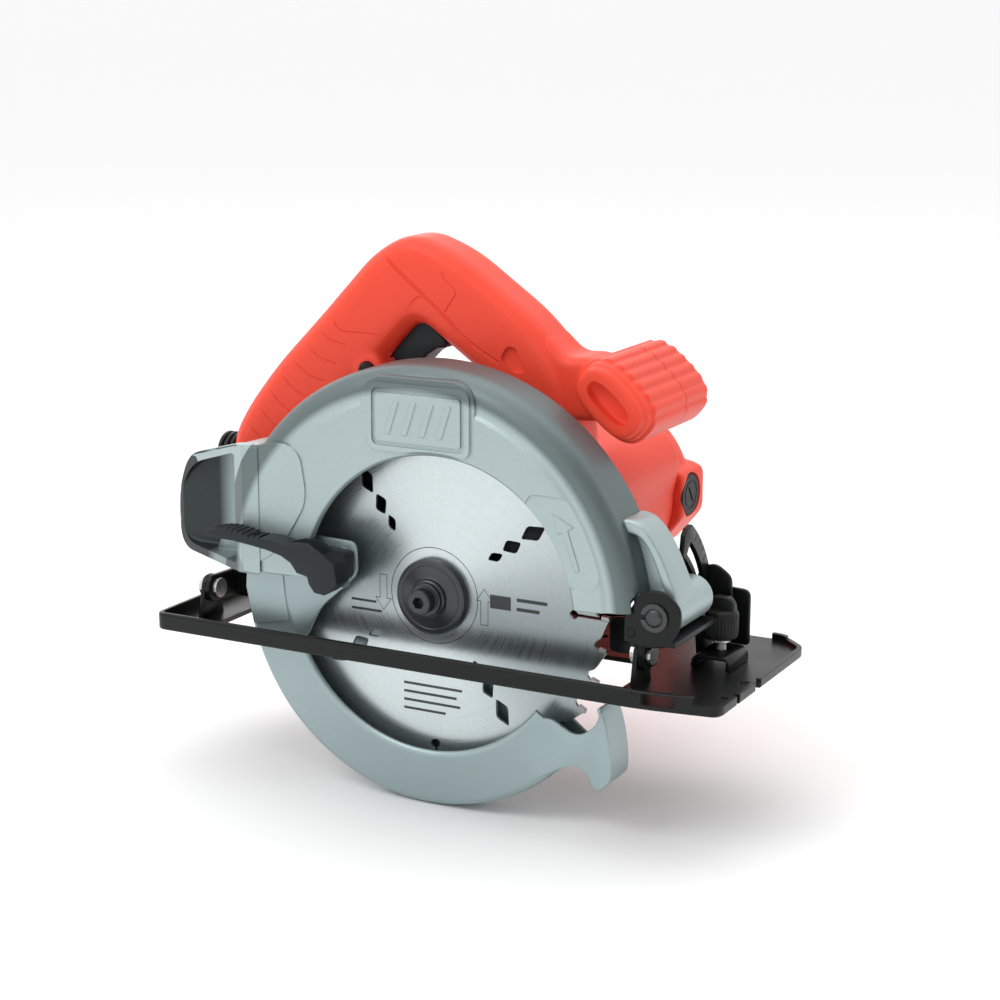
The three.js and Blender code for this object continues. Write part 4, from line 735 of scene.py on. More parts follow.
def upper_guard():
    """The fixed guard with its chute, framed pad and hinge barrel."""
    r = UPPER_R
    drum = turned(
        [
            (0, UPPER_NEAR), (95.5, UPPER_NEAR), (96.6, UPPER_NEAR + 0.35), (97.6, UPPER_NEAR + 1.1),
            (99.0, UPPER_NEAR + 1.55), (103.0, UPPER_NEAR + 1.75), (105.6, UPPER_NEAR + 2.5),
            (107.8, UPPER_NEAR + 3.9), (109.7, UPPER_NEAR + 5.9), (111.0, UPPER_NEAR + 8.2),
            (111.7, UPPER_NEAR + 10.6), (r, UPPER_NEAR + 13.5), (r, UPPER_FAR - 1.2),
            (r - 0.4, UPPER_FAR - 0.4), (r - 1.2, UPPER_FAR), (0, UPPER_FAR),
        ],
        steps=180,
    )
    below = slab([(-190, CHUTE_BOTTOM), (-113, CHUTE_BOTTOM), (190, 10.9), (190, -190), (-190, -190)], -40,
        40)
    drum = cut(drum, below)
    tube = slab(chute_side(0), UPPER_NEAR, UPPER_FAR, 2.0, 4)
    lip_outer = common(
        slab(chute_side(1.4), UPPER_NEAR - 1.0, UPPER_FAR + 0.6, 2.2, 4), behind_mouth(-4.5, 4.5)
    )
    seam = rounded(
        [
            (-112, 65.3, 0), (-86, 67.3, 3), (-73.8, 70.6, 9), (-63, 66, 9), (-60.1, 48.1, 12),
            (-61, 40, 9), (-71, 23.5, 9), (-80, 13.6, 8), (-91, 8.0, 7), (-112, 6.2, 0),
        ],
        8,
    )
    cheek = slab(seam, UPPER_NEAR - 0.7, UPPER_NEAR + 1, 0.45, 2, ends=(True, False))
    bump = rounded([(-29.5, 74, 6), (-29.5, 101, 8), (-21, 107.0, 8), (23, 107.4, 8), (31, 101, 8),
        (31, 74, 6)], 6)
    ramp = slab(bump, UPPER_NEAR, UPPER_NEAR + 9, 0.8, 3, ends=(True, False))
    pad = slab(
        rounded([(-25.2, 71.8, 5.5), (29, 71.8, 5.5), (29, 104.0, 5.5), (-25.2, 104.0, 5.5)], 7),
        UPPER_NEAR - 1.3, UPPER_NEAR + 2, 0.8, 3,
        ends=(True, False),
    )
    keep_round = turned([(0, -30), (r - 0.6, -30), (r - 0.6, UPPER_NEAR + 12), (0, UPPER_NEAR + 12)],
        steps=180)
    ramp = common(ramp, keep_round)
    web_edge = [(96, 50, 0), (106, 50.5, 6), (113, 45, 6), (119, 36, 8), (126.5, 19.5, 4), (128.5, 10, 0)]
    web = rounded([*web_edge, (119, 2, 0), (108, 3, 0), (100, 11, 0)], 8)
    rib = rounded(
        [*web_edge, (121, 10, 0), (121.0, 20, 3), (113.5, 37, 6), (108, 43.5, 6), (96, 45, 0)], 8
    )
    drum = join(
        drum, tube, lip_outer, cheek, ramp, pad,
        slab(web, 0, UPPER_FAR, 0.8, 2),
        slab(rib, -7, UPPER_FAR - 0.5, 1.6, 3),
        rod(10, -8, 31.5, (HINGE.x, HINGE.z), edge=0.7, steps=56),
        slab(
            rounded([(-76.5, -10, 8), (-59.5, -10, 8), (-59.5, 26, 8), (-76.5, 26, 8)]), UPPER_FAR - 2.2,
            UPPER_FAR
        ),
        rod(6, UPPER_FAR - 2.2, 18.2, DEPTH_STUD, edge=0.5),
    )
    inside_r = r - 2.4
    hollow = turned(
        [
            (0, UPPER_NEAR + 2.4), (94.6, UPPER_NEAR + 2.4), (103, UPPER_NEAR + 4.6),
            (107.4, UPPER_NEAR + 8.2), (inside_r, UPPER_NEAR + 14), (inside_r, UPPER_FAR - 2.4),
            (0, UPPER_FAR - 2.4),
        ],
        steps=180,
    )
    bore = slab(chute_side(-2.4), UPPER_NEAR + 2.4, UPPER_FAR - 2.4, 1.8, 4)
    ridge = slab(
        rounded([(-121, 8, 0), (-118.5, 8, 0), (-113.5, 60, 0), (-116, 60, 0)]), UPPER_FAR - 4.2,
        UPPER_FAR - 2, 0.9, 3,
        ends=(True, False),
    )
    shelf = slab([(-128, 6.0), (-106, 6.0), (-106, 19), (-124, 16)], UPPER_FAR - 9, UPPER_FAR - 2, 0.8, 2)
    arch = turned(
        [
            (0, UPPER_NEAR - 3), (ARCH_R + 3.4, UPPER_NEAR - 3), (ARCH_R + 1.6, UPPER_NEAR - 0.2),
            (ARCH_R + 0.9, UPPER_NEAR + 0.25), (ARCH_R + 0.3, UPPER_NEAR + 0.9),
            (ARCH_R, UPPER_NEAR + 1.8), (ARCH_R, UPPER_NEAR + 5), (0, UPPER_NEAR + 5),
        ],
        (ARCH_X, 0),
        140,
    )
    spine_panel = slab(
        rounded(
            [
                (56.2, 54.5, 4), (59.5, 59.3, 4), (76.5, 59.2, 7), (83, 54.5, 8), (94.5, 26, 7),
                (92.5, 18.6, 4), (84.0, 16.6, 4), (74.6, 21.4, 7), (66, 40, 8),
            ],
            8,
        ),
        UPPER_NEAR - 3, UPPER_NEAR + 0.75, 0.4, 2,
    )
    frame_out = rounded([(-22.6, 74.4, 4), (26.4, 74.4, 4), (26.4, 101.4, 4), (-22.6, 101.4, 4)], 7)
    groove = cut(
        slab(frame_out, UPPER_NEAR - 3, UPPER_NEAR - 0.2),
        slab(grown(frame_out, -2.1), UPPER_NEAR - 4, UPPER_NEAR + 1),
    )
    ear_room = rod(13.3, -13.2, -8.4, (HINGE.x, HINGE.z), steps=56)
    guard = cut(
        drum,
        behind_mouth(0),
        hollow, bore, arch, spine_panel, groove, ear_room,
        rod(4.35, -12, 36, (HINGE.x, HINGE.z)),
        rod(30, UPPER_FAR - 4, UPPER_FAR + 2, steps=64),
        rod(3, UPPER_FAR - 4, 24, DEPTH_STUD),
    )
    way = [(70.5, 51.6), (81.3, 46.4), (78.2, 44.6), (84.3, 26.6), (81.8, 25.6), (75.4, 43.4), (73.0, 42.2)]
    arrow = slab(rounded([(x, z, 0.6) for x, z in way], 3), UPPER_NEAR + 0.25, UPPER_NEAR + 1.4, 0.25, 2)
    bars = [
        slab(
            rounded([(x, 80, 1.2), (x + 3.2, 80, 1.2), (x + 8.4, 95.8, 1.2), (x + 5.2, 95.8, 1.2)], 4),
            UPPER_NEAR - 1.9, UPPER_NEAR - 1, 0.3, 2,
        )
        for x in (-16, -6.8, 2.4, 11.6)
    ]
    guard = join(guard, arrow, ridge, shelf, *bars)
    # Faces inside the chute get CHUTE_WALLS, whose colour holds painted shade with some dust.
    walls = []
    for face in guard.data.polygons:
        inward = Vector((face.center.x, -2.5, 35)) - face.center
        faces_in = inward.dot(face.normal) > 0 and UPPER_NEAR + 2 < face.center.y < UPPER_FAR - 1.5
        walls.append(int(faces_in and face.center.x < CHUTE_ROOT))
    finished(guard, "upper_guard_casting", "saw_body", "cast_aluminium", "upper_guard", crease=26,
        material=GUARD_CASTING)
    guard.data.materials.append(CHUTE_WALLS)
    guard.data.polygons.foreach_set("material_index", walls)


upper_guard()


# ------------------------------------------------------------------ lower guard and its lever
def lower_guard():
    """The swinging guard: a shell round the lower half, its ear and its front hook."""
    near, far, r = LOWER_NEAR, LOWER_FAR, LOWER_R
    start, end = 178, 323
    shell = turned(
        [
            (74.0, near + 1.6), (74.0, near + 0.9), (74.6, near + 0.15), (75.6, near - 0.35),
            (77.0, near - 0.35), (78.0, near), (97.4, near), (99.2, near + 0.45), (100.4, near + 1.5),
            (r, near + 3.2), (r, far - 0.6), (r - 0.6, far), (99.2, far), (99.2, near + 2.6),
            (98.2, near + 1.6),
        ],
        steps=110, start=start,
        angle=end - start,
    )
    web = slab([*arc(0, 0, r - 0.8, start, end, 60), (0, 0)], far - 1.6, far)
    hub = rod(25.85, 6.4, far + 1.3, edge=0.5, steps=64)
    ear = rounded(
        [
            (-96, -8, 0), (-98, 20, 6), (-72, 25, 4), (-37, 24, 4), (-36, 8, 5), (-47, -2, 7),
            (-57.5, -11, 6), (-66, -28, 6), (-75, -30, 0),
        ],
        7,
    )
    plate = slab(ear, near, near + 1.6, 0.5, 2)
    fold = slab(
        rounded([(-98.8, 12, 5), (-79.5, 10, 0), (-77.9, -4, 6), (-75.5, -20, 0), (-96, -24, 0),
            (-100, -6, 0)], 6),
        near - 0.55, near + 1, 0.45, 2,
        ends=(True, False),
    )
    tooth_strip = [(-44.5, 20.5)]
    for k in range(9):
        tooth_strip += [(-40.6 - 0.45 * (k % 2), 19.5 - k * 2.2)]
    tooth_strip += [(-44.2, 0)]
    strip = slab(tooth_strip, near - 6.5, near + 0.4, 0.2, 1)
    beak = rounded(
        [
            (57, -49.5, 3), (66.5, -46.8, 6), (80.7, -54.5, 7), (90.5, -47, 5), (92.4, -38, 3),
            (96.2, -50, 8), (98.2, -64, 8), (98.0, -73, 3), (92.2, -78.6, 2.5), (88.4, -78.0, 2.5),
            (87.2, -72.5, 5), (80.9, -67.9, 7), (74.5, -69.8, 8), (60, -78, 0), (50, -60, 0),
        ],
        8,
    )
    hook = slab(beak, near, near + 1.7, 0.55, 3)
    rim = slab(
        rounded(
            [
                (92.2, -38, 1), (96.2, -50, 8), (98.2, -64, 8), (98.0, -73, 3), (92.2, -78.6, 2.5),
                (90.6, -76.4, 1), (95.8, -71.4, 3), (96.2, -64, 8), (94.2, -50, 8), (90.4, -39, 1),
            ],
            8,
        ),
        near, far, 0.5, 2,
    )
    guard = join(shell, web, hub, plate, fold, strip, hook, rim)
    guard = cut(guard, rod(21.35, 0, 14, steps=64))
    return finished(guard, "lower_guard_shell", "lower_guard", "guard_aluminium", "lower_guard", crease=28)


def guard_lever():
    teeth = []
    for k in range(11):
        x = -108 + k * 3.0
        z = 25.4 + 2.4 * math.sin(math.pi * min(1, (k + 1) / 9))
        teeth += [(x, z - 0.5), (x + 0.8, z + 0.45), (x + 2.0, z + 0.45)]
    side = [
        (-110.5, 23.6),
        *teeth,
        (-70, 25.6), (-64, 24.2), (-58, 25.8), (-51, 26.0), (-44, 22.5), (-36.0, 17.5), (-34.8, 8),
        (-38.0, 4.6), (-42.0, 2.0), (-47.5, 2.6), (-50.4, 6.4), (-51.4, 10.0), (-57.0, 11.0),
        (-60.6, 15.6), (-66, 18.4), (-74, 20.2), (-83, 21.4), (-93, 22.4), (-104, 22.6),
    ]
    near = UPPER_NEAR - 14.2
    lever = slab(side, near, near + 11.6, 0.7, 3)
    scoop = slab(
        rounded([(-70, 40, 0), (-61, 19.2, 6), (-45, 17.0, 5), (-38.5, 30, 0)], 6), near + 1.6, near + 9.4,
        0.6, 2
    )
    ribs = [
        slab([(x, 23.2), (x + 1.1, 23.2), (x + 1.1, 27.4), (x, 27.4)], near + 2.4,
            near + 9.2) for x in (-83, -79.4)
    ]
    stem = slab(
        rounded([(-53, 8, 3), (-38, 6, 3), (-37, 20, 3), (-52, 21, 3)]), near + 11, LOWER_NEAR - 0.9, 0.4, 2
    )
    lever = join(cut(lever, scoop, *ribs), stem)
    return finished(lever, "guard_lever_grip", "lower_guard", "grey_plastic", "guard_lever", crease=34)


lower_guard()
guard_lever()


# ------------------------------------------------------------------ blade, flange and bolt
TEETH = 36


def blade():
    outline = []
    pitch = 2 * math.pi / TEETH
    for i in range(TEETH):
        for radius, share in (
            (91.2, 0.0), (87.2, 0.045), (85.4, 0.115), (84.8, 0.20), (85.5, 0.30), (87.4, 0.40),
            (88.6, 0.56), (89.8, 0.78), (90.9, 0.94),
        ):
            a = (i + share) * pitch
            outline.append((radius * math.cos(a), radius * math.sin(a)))
    plate = slab(outline, -0.8, 0.8)
    holes = [rod(8, -2, 2, steps=48)]
    for quarter in range(4):
        spin = quarter * 90
        for radius, length, width in ((40, 9, 5.6), (50.5, 11, 8), (64, 14.5, 8.6)):
            shape = rounded(
                [
                    (radius - length / 2, 0.8, 1.5), (radius - length * 0.06, width / 2, 1.8),
                    (radius + length / 2, -0.8, 1.5), (radius + length * 0.02, -width / 2, 1.8),
                ],
                4,
            )
            holes.append(turned_about(slab(shape, -2, 2), -(35 + spin), "Y", (0, 0, 0)))
        slit = rounded([(74.5, -0.7, 0), (95, -1.3, 0), (95, 0.1, 0), (74.5, 0.7, 0)])
        holes.append(turned_about(join(slab(slit, -2, 2), rod(2.1, -2, 2, (73.6, 0))), -(0.6 + spin), "Y",
            (0, 0, 0)))
    holes.append(rod(2.2, -2, 2, (0, -74)))
    finished(cut(plate, *holes), "blade_plate", "blade_assembly", "blade_steel", "blade", crease=30)
    tips = []
    for i in range(TEETH):
        tip = slab([(87.6, 0.0), (91.9, -0.1), (91.4, 1.9), (87.6, 2.0)], -1.15, 1.15, 0.12, 1)
        tips.append(turned_about(tip, -math.degrees(i * pitch), "Y", (0, 0, 0)))
    base = tips[0]
    bm = bmesh.new()
    for tip in tips:
        bm.from_mesh(tip.data)
    bm.to_mesh(base.data)
    bm.free()
    for tip in tips[1:]:
        bpy.data.objects.remove(tip)
    finished(base, "blade_tips", "blade_assembly", "blade_steel", crease=30, material=CARBIDE)


def flange_and_bolt():
    front = here(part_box("outer_flange")[0]).y
    flange = turned(
        [
            (6.3, front + 0.5), (6.8, front), (8.2, front), (9.0, front + 0.6), (9.3, front + 2.2),
            (10.2, front + 2.8), (14.8, front + 2.7), (15.2, front + 2.95), (15.6, front + 2.7),
            (17.4, front + 2.8), (18.2, front + 3.3), (18.5, front + 4.2), (18.5, -1.0), (5.3, -1.0),
            (5.3, front + 0.5),
        ],
        steps=96,
    )
    finished(flange, "outer_flange_disc", "blade_assembly", "dark_steel", "outer_flange", crease=35)
    head = here(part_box("blade_bolt")[0]).y
    bolt = turned(
        [
            (0, head), (4.9, head), (5.7, head + 0.35), (6.0, head + 1.0), (6.0, front - 2.2),
            (7.6, front - 2.1), (8.0, front - 1.7), (8.0, front - 0.3), (0, front - 0.3),
        ],
        steps=64,
    )
    flutes = [rod(0.34, head + 1.4, front - 2.6, (6.0 * math.cos(a), 6.0 * math.sin(a)), steps=6)
              for a in (2 * math.pi * i / 30 for i in range(30))]
    socket = slab(circle(0, 0, 3.1, 6), head - 1, head + 4.2)
    finished(cut(bolt, socket, *flutes), "blade_bolt_head", "blade_assembly", "dark_steel", "blade_bolt")


blade()
flange_and_bolt()


# ------------------------------------------------------------------ orange mouldings
def pillowed(outline, loop, low, high, soft, levels=5):
    """A plate with broad round sides and an open loop, before it is melted smooth."""
    centre = (high + low) / 2
    base = None
    for k in range(levels):
        t = math.radians(90 * k / (levels - 1))
        inward = soft * (1 - math.cos(t))
        half = (high - low) / 2 - soft * (1 - math.sin(t)) * 0.9
        layer = slab(grown(outline, -inward), centre - half, centre + half)
        layer = cut(layer, slab(grown(loop, inward), centre - half - 1, centre + half + 1))
        base = layer if base is None else join(base, layer)
    return base


HANDLE_SIDE = rounded(
    [
        (-139, 30, 8), (-140.5, 56, 12), (-131, 73, 16), (-112, 97, 20), (-88, 121, 18), (-55, 156, 16),
        (-35, 166.5, 18), (-10, 158, 20), (32, 129, 24), (50, 109, 12), (55, 86, 10), (58, 40, 4),
        (20, 20, 0), (-30, 14, 0), (-124, 16, 12),
    ],
    8,
)
HANDLE_LOOP = rounded(
    [(-30, 125, 8), (10, 97, 12), (4, 78, 12), (-14, 71, 12), (-44, 42, 14), (-90, 40, 14), (-100, 47, 10)], 8
)


def seam_line(points, y, lift=0.0, radius=0.32, steps=6):
    flat = smooth_line([(x, z, 0) for x, z in points], steps)
    return thread([(p.x, y + lift, p.y) for p in flat], radius)


def handle():
    """The closed loop handle, melted into one moulding and then cut by its mould lines."""
    near, far = HANDLE_Y - 17.0, HANDLE_Y + 17.0
    grip = pillowed(HANDLE_SIDE, HANDLE_LOOP, near, far, 8.5)
    boss = rod(8.5, near - 0.6, far + 0.3, LOCK_OFF, edge=1.2)
    grip = moulded(join(grip, boss), 1.25, 7)
    barrel = rod(45.6, 20, 80, (AXIS.x, AXIS.z), steps=96)
    cutters = [
        barrel,
        rod(4.9, near - 4, far + 4, LOCK_OFF),
        rod(8.9, -160, -128, (HANDLE_Y, GLAND_Z), along="X"),
    ]
    pocket = slab(
        [trigger_spot(13, -9), trigger_spot(43, -9), trigger_spot(43, 18), trigger_spot(13, 18)],
        HANDLE_Y - 8.4, HANDLE_Y + 8.4,
    )
    cutters.append(pocket)
    grip = cut(grip, *cutters)
    # Mould lines and shallow reliefs on both sides.
    lines = []
    for side, y in ((-1, near), (1, far)):
        lines.append(seam_line([(-48, 157), (-44.5, 153.5), (-37.5, 147.5), (-16, 130.6), (0, 116.8),
            (16.5, 107.5)], y, side * -0.1, 0.9))
        lines.append(seam_line([(-78, 128.5), (-76.7, 125), (-73.4, 118.6), (-68.8, 116.5), (-55.3, 116.4),
                                (-46.3, 115.8), (-41.8, 119.8), (-29.6, 134.6), (-25.2, 136)], y))
        lines.append(seam_line([(-0.4, 157.6), (-12.2, 150.6), (-13.4, 146.4), (-6.8, 140.4), (-9.0, 135.5),
            (-12.8, 130.1)], y))
        for k in range(7):
            x = -86 - k * 6.1
            z = 119 - k * 9.6
            lines.append(
                seam_line([(x - 4, z + 3.5), (x + 3, z - 3.2), (x + 9.5, z - 7.4), (x + 17.5, z - 9.2)], y,
                    0, 0.42, 4)
            )
        tear = rounded([(17, 110, 2.5), (20.4, 116.0, 2.5), (25, 116, 2.5), (31, 104.5, 2.5),
            (24, 103.6, 2.5)], 5)
        lines.append(slab(tear, y - 1.6, y + 1.6, 0.4, 2))
    recess = rounded([(-5.2, 152.4, 3), (0.5, 158.5, 0), (42, 129, 0), (33, 125.4, 3), (24.5, 128.6, 3)], 5)
    lines.append(cut(slab(recess, near - 2, far + 2), slab(recess, near + 1.1, far - 1.1)))
    grip = cut(grip, *lines)
    return finished(grip, "handle_moulding", "saw_body", "orange_plastic", "handle_shell_near",
        "handle_shell_far", crease=40)


GRIP_X, GRIP_Z = -19.0, 135.0
GRIP_TURN = math.atan2(0.735, 0.678)


def trigger_spot(s, n):
    c, d = math.cos(GRIP_TURN), math.sin(GRIP_TURN)
    return (GRIP_X - c * s + d * n, GRIP_Z - d * s - c * n)


def trigger():
    face = [
        (14, -3.6), (42, -3.6), (42, 3), (39, 9.5), (33, 12.4), (26.5, 12.6), (20.5, 14.2), (17, 17),
        (15, 16.6), (14, 14),
    ]
    made = slab([trigger_spot(s, n) for s, n in face], HANDLE_Y - 8, HANDLE_Y + 8, 1.4, 4)
    finished(made, "trigger_blade", "trigger", "grey_plastic", "trigger")
    button = turned(
        [
            (0, HANDLE_Y - 18.6), (1.6, HANDLE_Y - 19.1), (3.6, HANDLE_Y - 19.4),
            (4.3, HANDLE_Y - 19.0), (4.5, HANDLE_Y - 18.2), (4.5, HANDLE_Y + 15.4),
            (4.1, HANDLE_Y + 16), (0, HANDLE_Y + 16),
        ],
        LOCK_OFF, 48,
    )
    finished(button, "lock_off_cap", "lock_off", "grey_plastic", "lock_off_button")


POD_X, POD_Z, POD_A, POD_B, POD_TILT = 77.0, 95.0, 21.0, 13.5, -42.0


def pod_outline(grow, ribs=0.0):
    points = []
    for i in range(160):
        a = 2 * math.pi * i / 160
        c, d = math.cos(a), math.sin(a)
        u = (POD_A + grow) * math.copysign(abs(c) ** 0.75, c)
        v = (POD_B + grow) * math.copysign(abs(d) ** 0.75, d)
        if ribs and 20 <= math.degrees(a) <= 168:
            wave = 0.5 - 0.5 * math.cos(u / (POD_A + grow) * math.pi * 7)
            v -= ribs * (1 - wave) ** 3
        turn = math.radians(POD_TILT)
        points.append((POD_X + u * math.cos(turn) - v * math.sin(turn),
            POD_Z + u * math.sin(turn) + v * math.cos(turn)))
    return points


def auxiliary_handle():
    """The ribbed front grip with its oval dish and the neck to the loop."""
    near, far = 25.0, 104.0
    pod = slab(pod_outline(0.9, 1.5), near + 9, far - 7, 0.8, 2)
    core = [slab(pod_outline(-0.9), near + 4.4, far - 3.6, 1.2, 3)]
    for grow in (-1.2, -4.6):
        core.append(slab(pod_outline(grow - 0.9), near + 4.4 + grow * 0.55, far - 3.6 - grow * 0.5))
    collar = slab(pod_outline(-2.6), near, near + 12, 2.2, 4)
    neck_side = rounded(
        [(POD_X, POD_Z + 13, 0), (60, 113.6, 8), (49, 112.4, 8), (38, 122, 0), (33, 100, 0), (48, 82, 0),
            (POD_X, POD_Z - 11, 0)], 6
    )
    neck = slab(neck_side, HANDLE_Y - 14.5, HANDLE_Y + 14.5, 5, 4)
    pod = join(pod, *core, collar, neck)
    pod = moulded(pod, 0.75, 3)
    dish = slab(pod_outline(-8.4), near - 2, near + 5.5, 1.6, 4)
    halves = slab(pod_outline(1.5), 70.2, 70.7)
    halves = cut(halves, slab(pod_outline(-0.35), 69, 72))
    pod = cut(pod, dish, halves)
    finished(pod, "front_grip_moulding", "saw_body", "orange_plastic", "auxiliary_handle", crease=40)


def around_motor(*shapes):
    for shape in shapes:
        moved(shape, Matrix.Translation((AXIS.x, 0, AXIS.z)))
    return shapes


def motor():
    start, joint, end = 45.0, 148.0, 180.0
    can = turned(
        [(0, start), (45, start), (45, joint - 1.2), (44.4, joint - 0.3), (43.6, joint), (0, joint)],
        steps=120
    )
    shoulder_side = rounded(
        [(0, 45, 0), (20, 42, 10), (40, 36, 14), (49, 22, 12), (46, 6, 12), (38, -22, 16), (10, -40, 0),
            (0, 0, 0)], 8
    )
    shoulder = slab(shoulder_side, start, joint, 1.6, 4)
    can, shoulder = around_motor(can, shoulder)
    housing = moulded(join(can, shoulder), 1.3, 5)
    hollow = rod(42.2, start - 2, joint + 2, (AXIS.x, AXIS.z), steps=96)
    rib = []
    for k in range(6):
        a = math.radians(140 + k * 12)
        slot = block(-1.5, 1.5, start + 4, start + 15, -8, 8)
        slot = turned_about(slot, 140 + k * 12, "Y", (0, 0, 0))
        moved(slot, Matrix.Translation((AXIS.x + 45 * math.sin(a), 0, AXIS.z + 45 * math.cos(a))))
        rib.append(slot)
    seam = cut(rod(48, 96.0, 96.6, (AXIS.x, AXIS.z), steps=96), rod(44.4, 95, 98, (AXIS.x, AXIS.z), steps=96))
    housing = cut(housing, hollow, seam, *rib)
    finished(housing, "motor_housing_moulding", "saw_body", "orange_plastic", "motor_housing", crease=40)

    dome = turned(
        [
            (0, joint + 0.3), (44.2, joint + 0.3), (45, joint + 1.1), (45, end - 15),
            (44.3, end - 10.5), (42.2, end - 6.6), (38.8, end - 3.2), (34, end - 1.0), (29, end),
            (0, end),
        ],
        steps=120,
    )
    boxes = []
    for side in (1, -1):
        shape = rounded(
            [(side * 20, 15, 0), (side * 42, 15, 5), (side * 49.4, 12, 3.5), (side * 49.4, -10, 3.5),
             (side * 46, -15, 3), (side * 34, -29, 3), (side * 20, -29, 0)],
            6,
        )
        boxes.append(slab(shape, joint + 0.3, 177.0, 1.8, 4))
    dome, *boxes = around_motor(dome, *boxes)
    cover = moulded(join(dome, *boxes), 1.1, 3)
    seats = []
    for side in (1, -1):
        x = AXIS.x + side * 49.3
        low, high = (x - 5.4, x + 4) if side > 0 else (x - 4, x + 5.4)
        seats.append(rod(11.5, low, high, (BRUSH_Y, AXIS.z), along="X", steps=56))
    slots = []
    for angle in (150, 165, 180, 195, 210, 0, 15, 30, -15, -30):
        a = math.radians(angle)
        slot = slab(rounded([(-1.5, -8, 1.4), (1.5, -8, 1.4), (1.5, 8, 1.4), (-1.5, 8, 1.4)], 3), end - 9,
            end + 3)
        slot = turned_about(slot, angle, "Y", (0, 0, 0))
        moved(slot, Matrix.Translation((AXIS.x + 28 * math.sin(a), 0, AXIS.z + 28 * math.cos(a))))
        slots.append(slot)
    inside = turned(
        [(0, joint - 2), (42.2, joint - 2), (42.2, end - 15), (32, end - 3), (0, end - 3)],
        (AXIS.x, AXIS.z), 96
    )
    cover = cut(cover, inside, *seats, *slots)
    finished(cover, "motor_end_moulding", "saw_body", "orange_plastic", "motor_end_cover", crease=40)

    for side, label in ((1, "front"), (-1, "rear")):
        node = "brush_cap_" + label
        face = here(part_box(node)[1]).x if side > 0 else here(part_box(node)[0]).x
        profile = [
            (0, 0.0), (6.6, 0.0), (7.0, 0.45), (7.5, 0.45), (7.9, 0.0), (10.2, 0.0), (11.0, 0.9),
            (11.0, 5.0), (0, 5.0),
        ]
        cap = turned(profile, steps=72)
        slot = slab(rounded([(-5.2, -0.75, 0.6), (5.2, -0.75, 0.6), (5.2, 0.75, 0.6), (-5.2, 0.75, 0.6)],
            3), -1, 1.5)
        slot = turned_about(slot, 58, "Y", (0, 0, 0))
        cap = cut(cap, slot)
        moved(cap, Matrix(((0, -side, 0, face), (side, 0, 0, BRUSH_Y), (0, 0, 1, AXIS.z), (0, 0, 0, 1))))
        finished(cap, node + "_disc", "saw_body", "grey_plastic", node)


handle()
trigger()
auxiliary_handle()
motor()


def gland():
    start = -152.0
    profile = [(4.3, 0)]
    x = 0.0
    for _ in range(4):
        profile += [(9.6, x), (9.9, x + 0.4), (9.9, x + 1.7), (9.6, x + 2.1), (8.2, x + 2.2), (8.2, x + 3.2)]
        x += 3.4
    profile += [(8.4, x), (8.4, 15), (4.3, 15)]
    sleeve = turned(profile, steps=48)
    moved(sleeve, Matrix(((0, 1, 0, start), (-1, 0, 0, HANDLE_Y), (0, 0, 1, GLAND_Z), (0, 0, 0, 1))))
    finished(sleeve, "cable_gland_sleeve", "saw_body", "black_plastic", "cable_gland")


gland()


# ------------------------------------------------------------------ shoe and its fittings
def shoe():
    """The pressed sole with its rims, blade opening and two pivot lugs."""
    back, front, near, far = -144.7, 155.0, -27.0, 96.0
    outline = rounded(
        [
            (back, near, 6), (HINGE.x, near, 10), (front - 2, near + 5, 4), (front, near + 9, 4),
            (front, far - 13, 5), (front - 14, far, 5), (back, far, 6),
        ],
        6,
    )
    top = SOLE + 8.5
    tray = slab(outline, SOLE, top, 1.0, 3, along="Z")
    inner = slab(grown(outline, -2.4), SOLE + 2.3, top + 4, 1.0, 3, along="Z", ends=(True, False))
    opening = rounded([(-119, -14, 3), (101.6, -14, 3), (101.6, 33, 3), (-119, 33, 3)], 5)
    cutters = [
        inner,
        slab(opening, SOLE - 2, SOLE + 12, along="Z"),
        block(front - 12, front + 2, near - 2, far + 2, SOLE + 4.5, top + 3),
        block(back - 2, front + 2, far - 8, far + 3, SOLE + 5.6, top + 3),
        block(119.3, 134.7, near - 3, near + 9, SOLE + 2.3, SOLE + 7.4),
        block(119.3, 134.7, far - 9, far + 3, SOLE + 2.3, SOLE + 7.4),
    ]
    for y, wide in ((0, 3), (24, 6)):
        cutters.append(
            slab(rounded([(front - 9, y - wide / 2, 1), (front + 4, y - wide / 2 - 0.6, 0),
                          (front + 4, y + wide / 2 + 0.6, 0), (front - 9, y + wide / 2, 1)], 4),
                 SOLE - 2, top, along="Z")
        )
    for x, y in ((-132, 60), (60, 60), (-60, 60), (20, 75)):
        cutters.append(rod(2.6, SOLE - 2, SOLE + 6, (x, y), along="Z", steps=28))
    tray = cut(tray, *cutters)
    # A rolled bead along the near rim, and a raised pad on the sole's floor.
    beads = [
        thread([(back + 5, near + 1.3, top - 1.2), (HINGE.x - 4, near + 1.3, top - 1.2)], 1.55, 16),
        slab(
            rounded([(-40, 50, 6), (50, 50, 6), (50, 84, 6), (-40, 84, 6)], 6), SOLE + 2, SOLE + 3.4, 0.7, 2,
            along="Z", ends=(False, True),
        ),
    ]
    lugs = []
    for node in ("front_pivot_pin", "rear_pivot_pin"):
        x = here(middle(node)).x
        lug_x = x - 0.2 - (2.5 + 0.3) / 2 - 1.25
        lug = rounded([(-9.5, SOLE + 2, 0), (9.5, SOLE + 2, 0), (7.5, -17, 5), (5, -6.2, 5), (-5, -6.2, 5),
            (-7.5, -17, 5)], 6)
        plate = slab(lug, lug_x, lug_x + 2.5, 0.5, 2, along="X")
        lugs.append(cut(plate, rod(3.35, lug_x - 1, lug_x + 4, (0, PIVOT_Z), along="X")))
    tray = join(tray, *beads, *lugs)
    finished(tray, "shoe_pressing", "shoe", "black_paint", "shoe", crease=34)


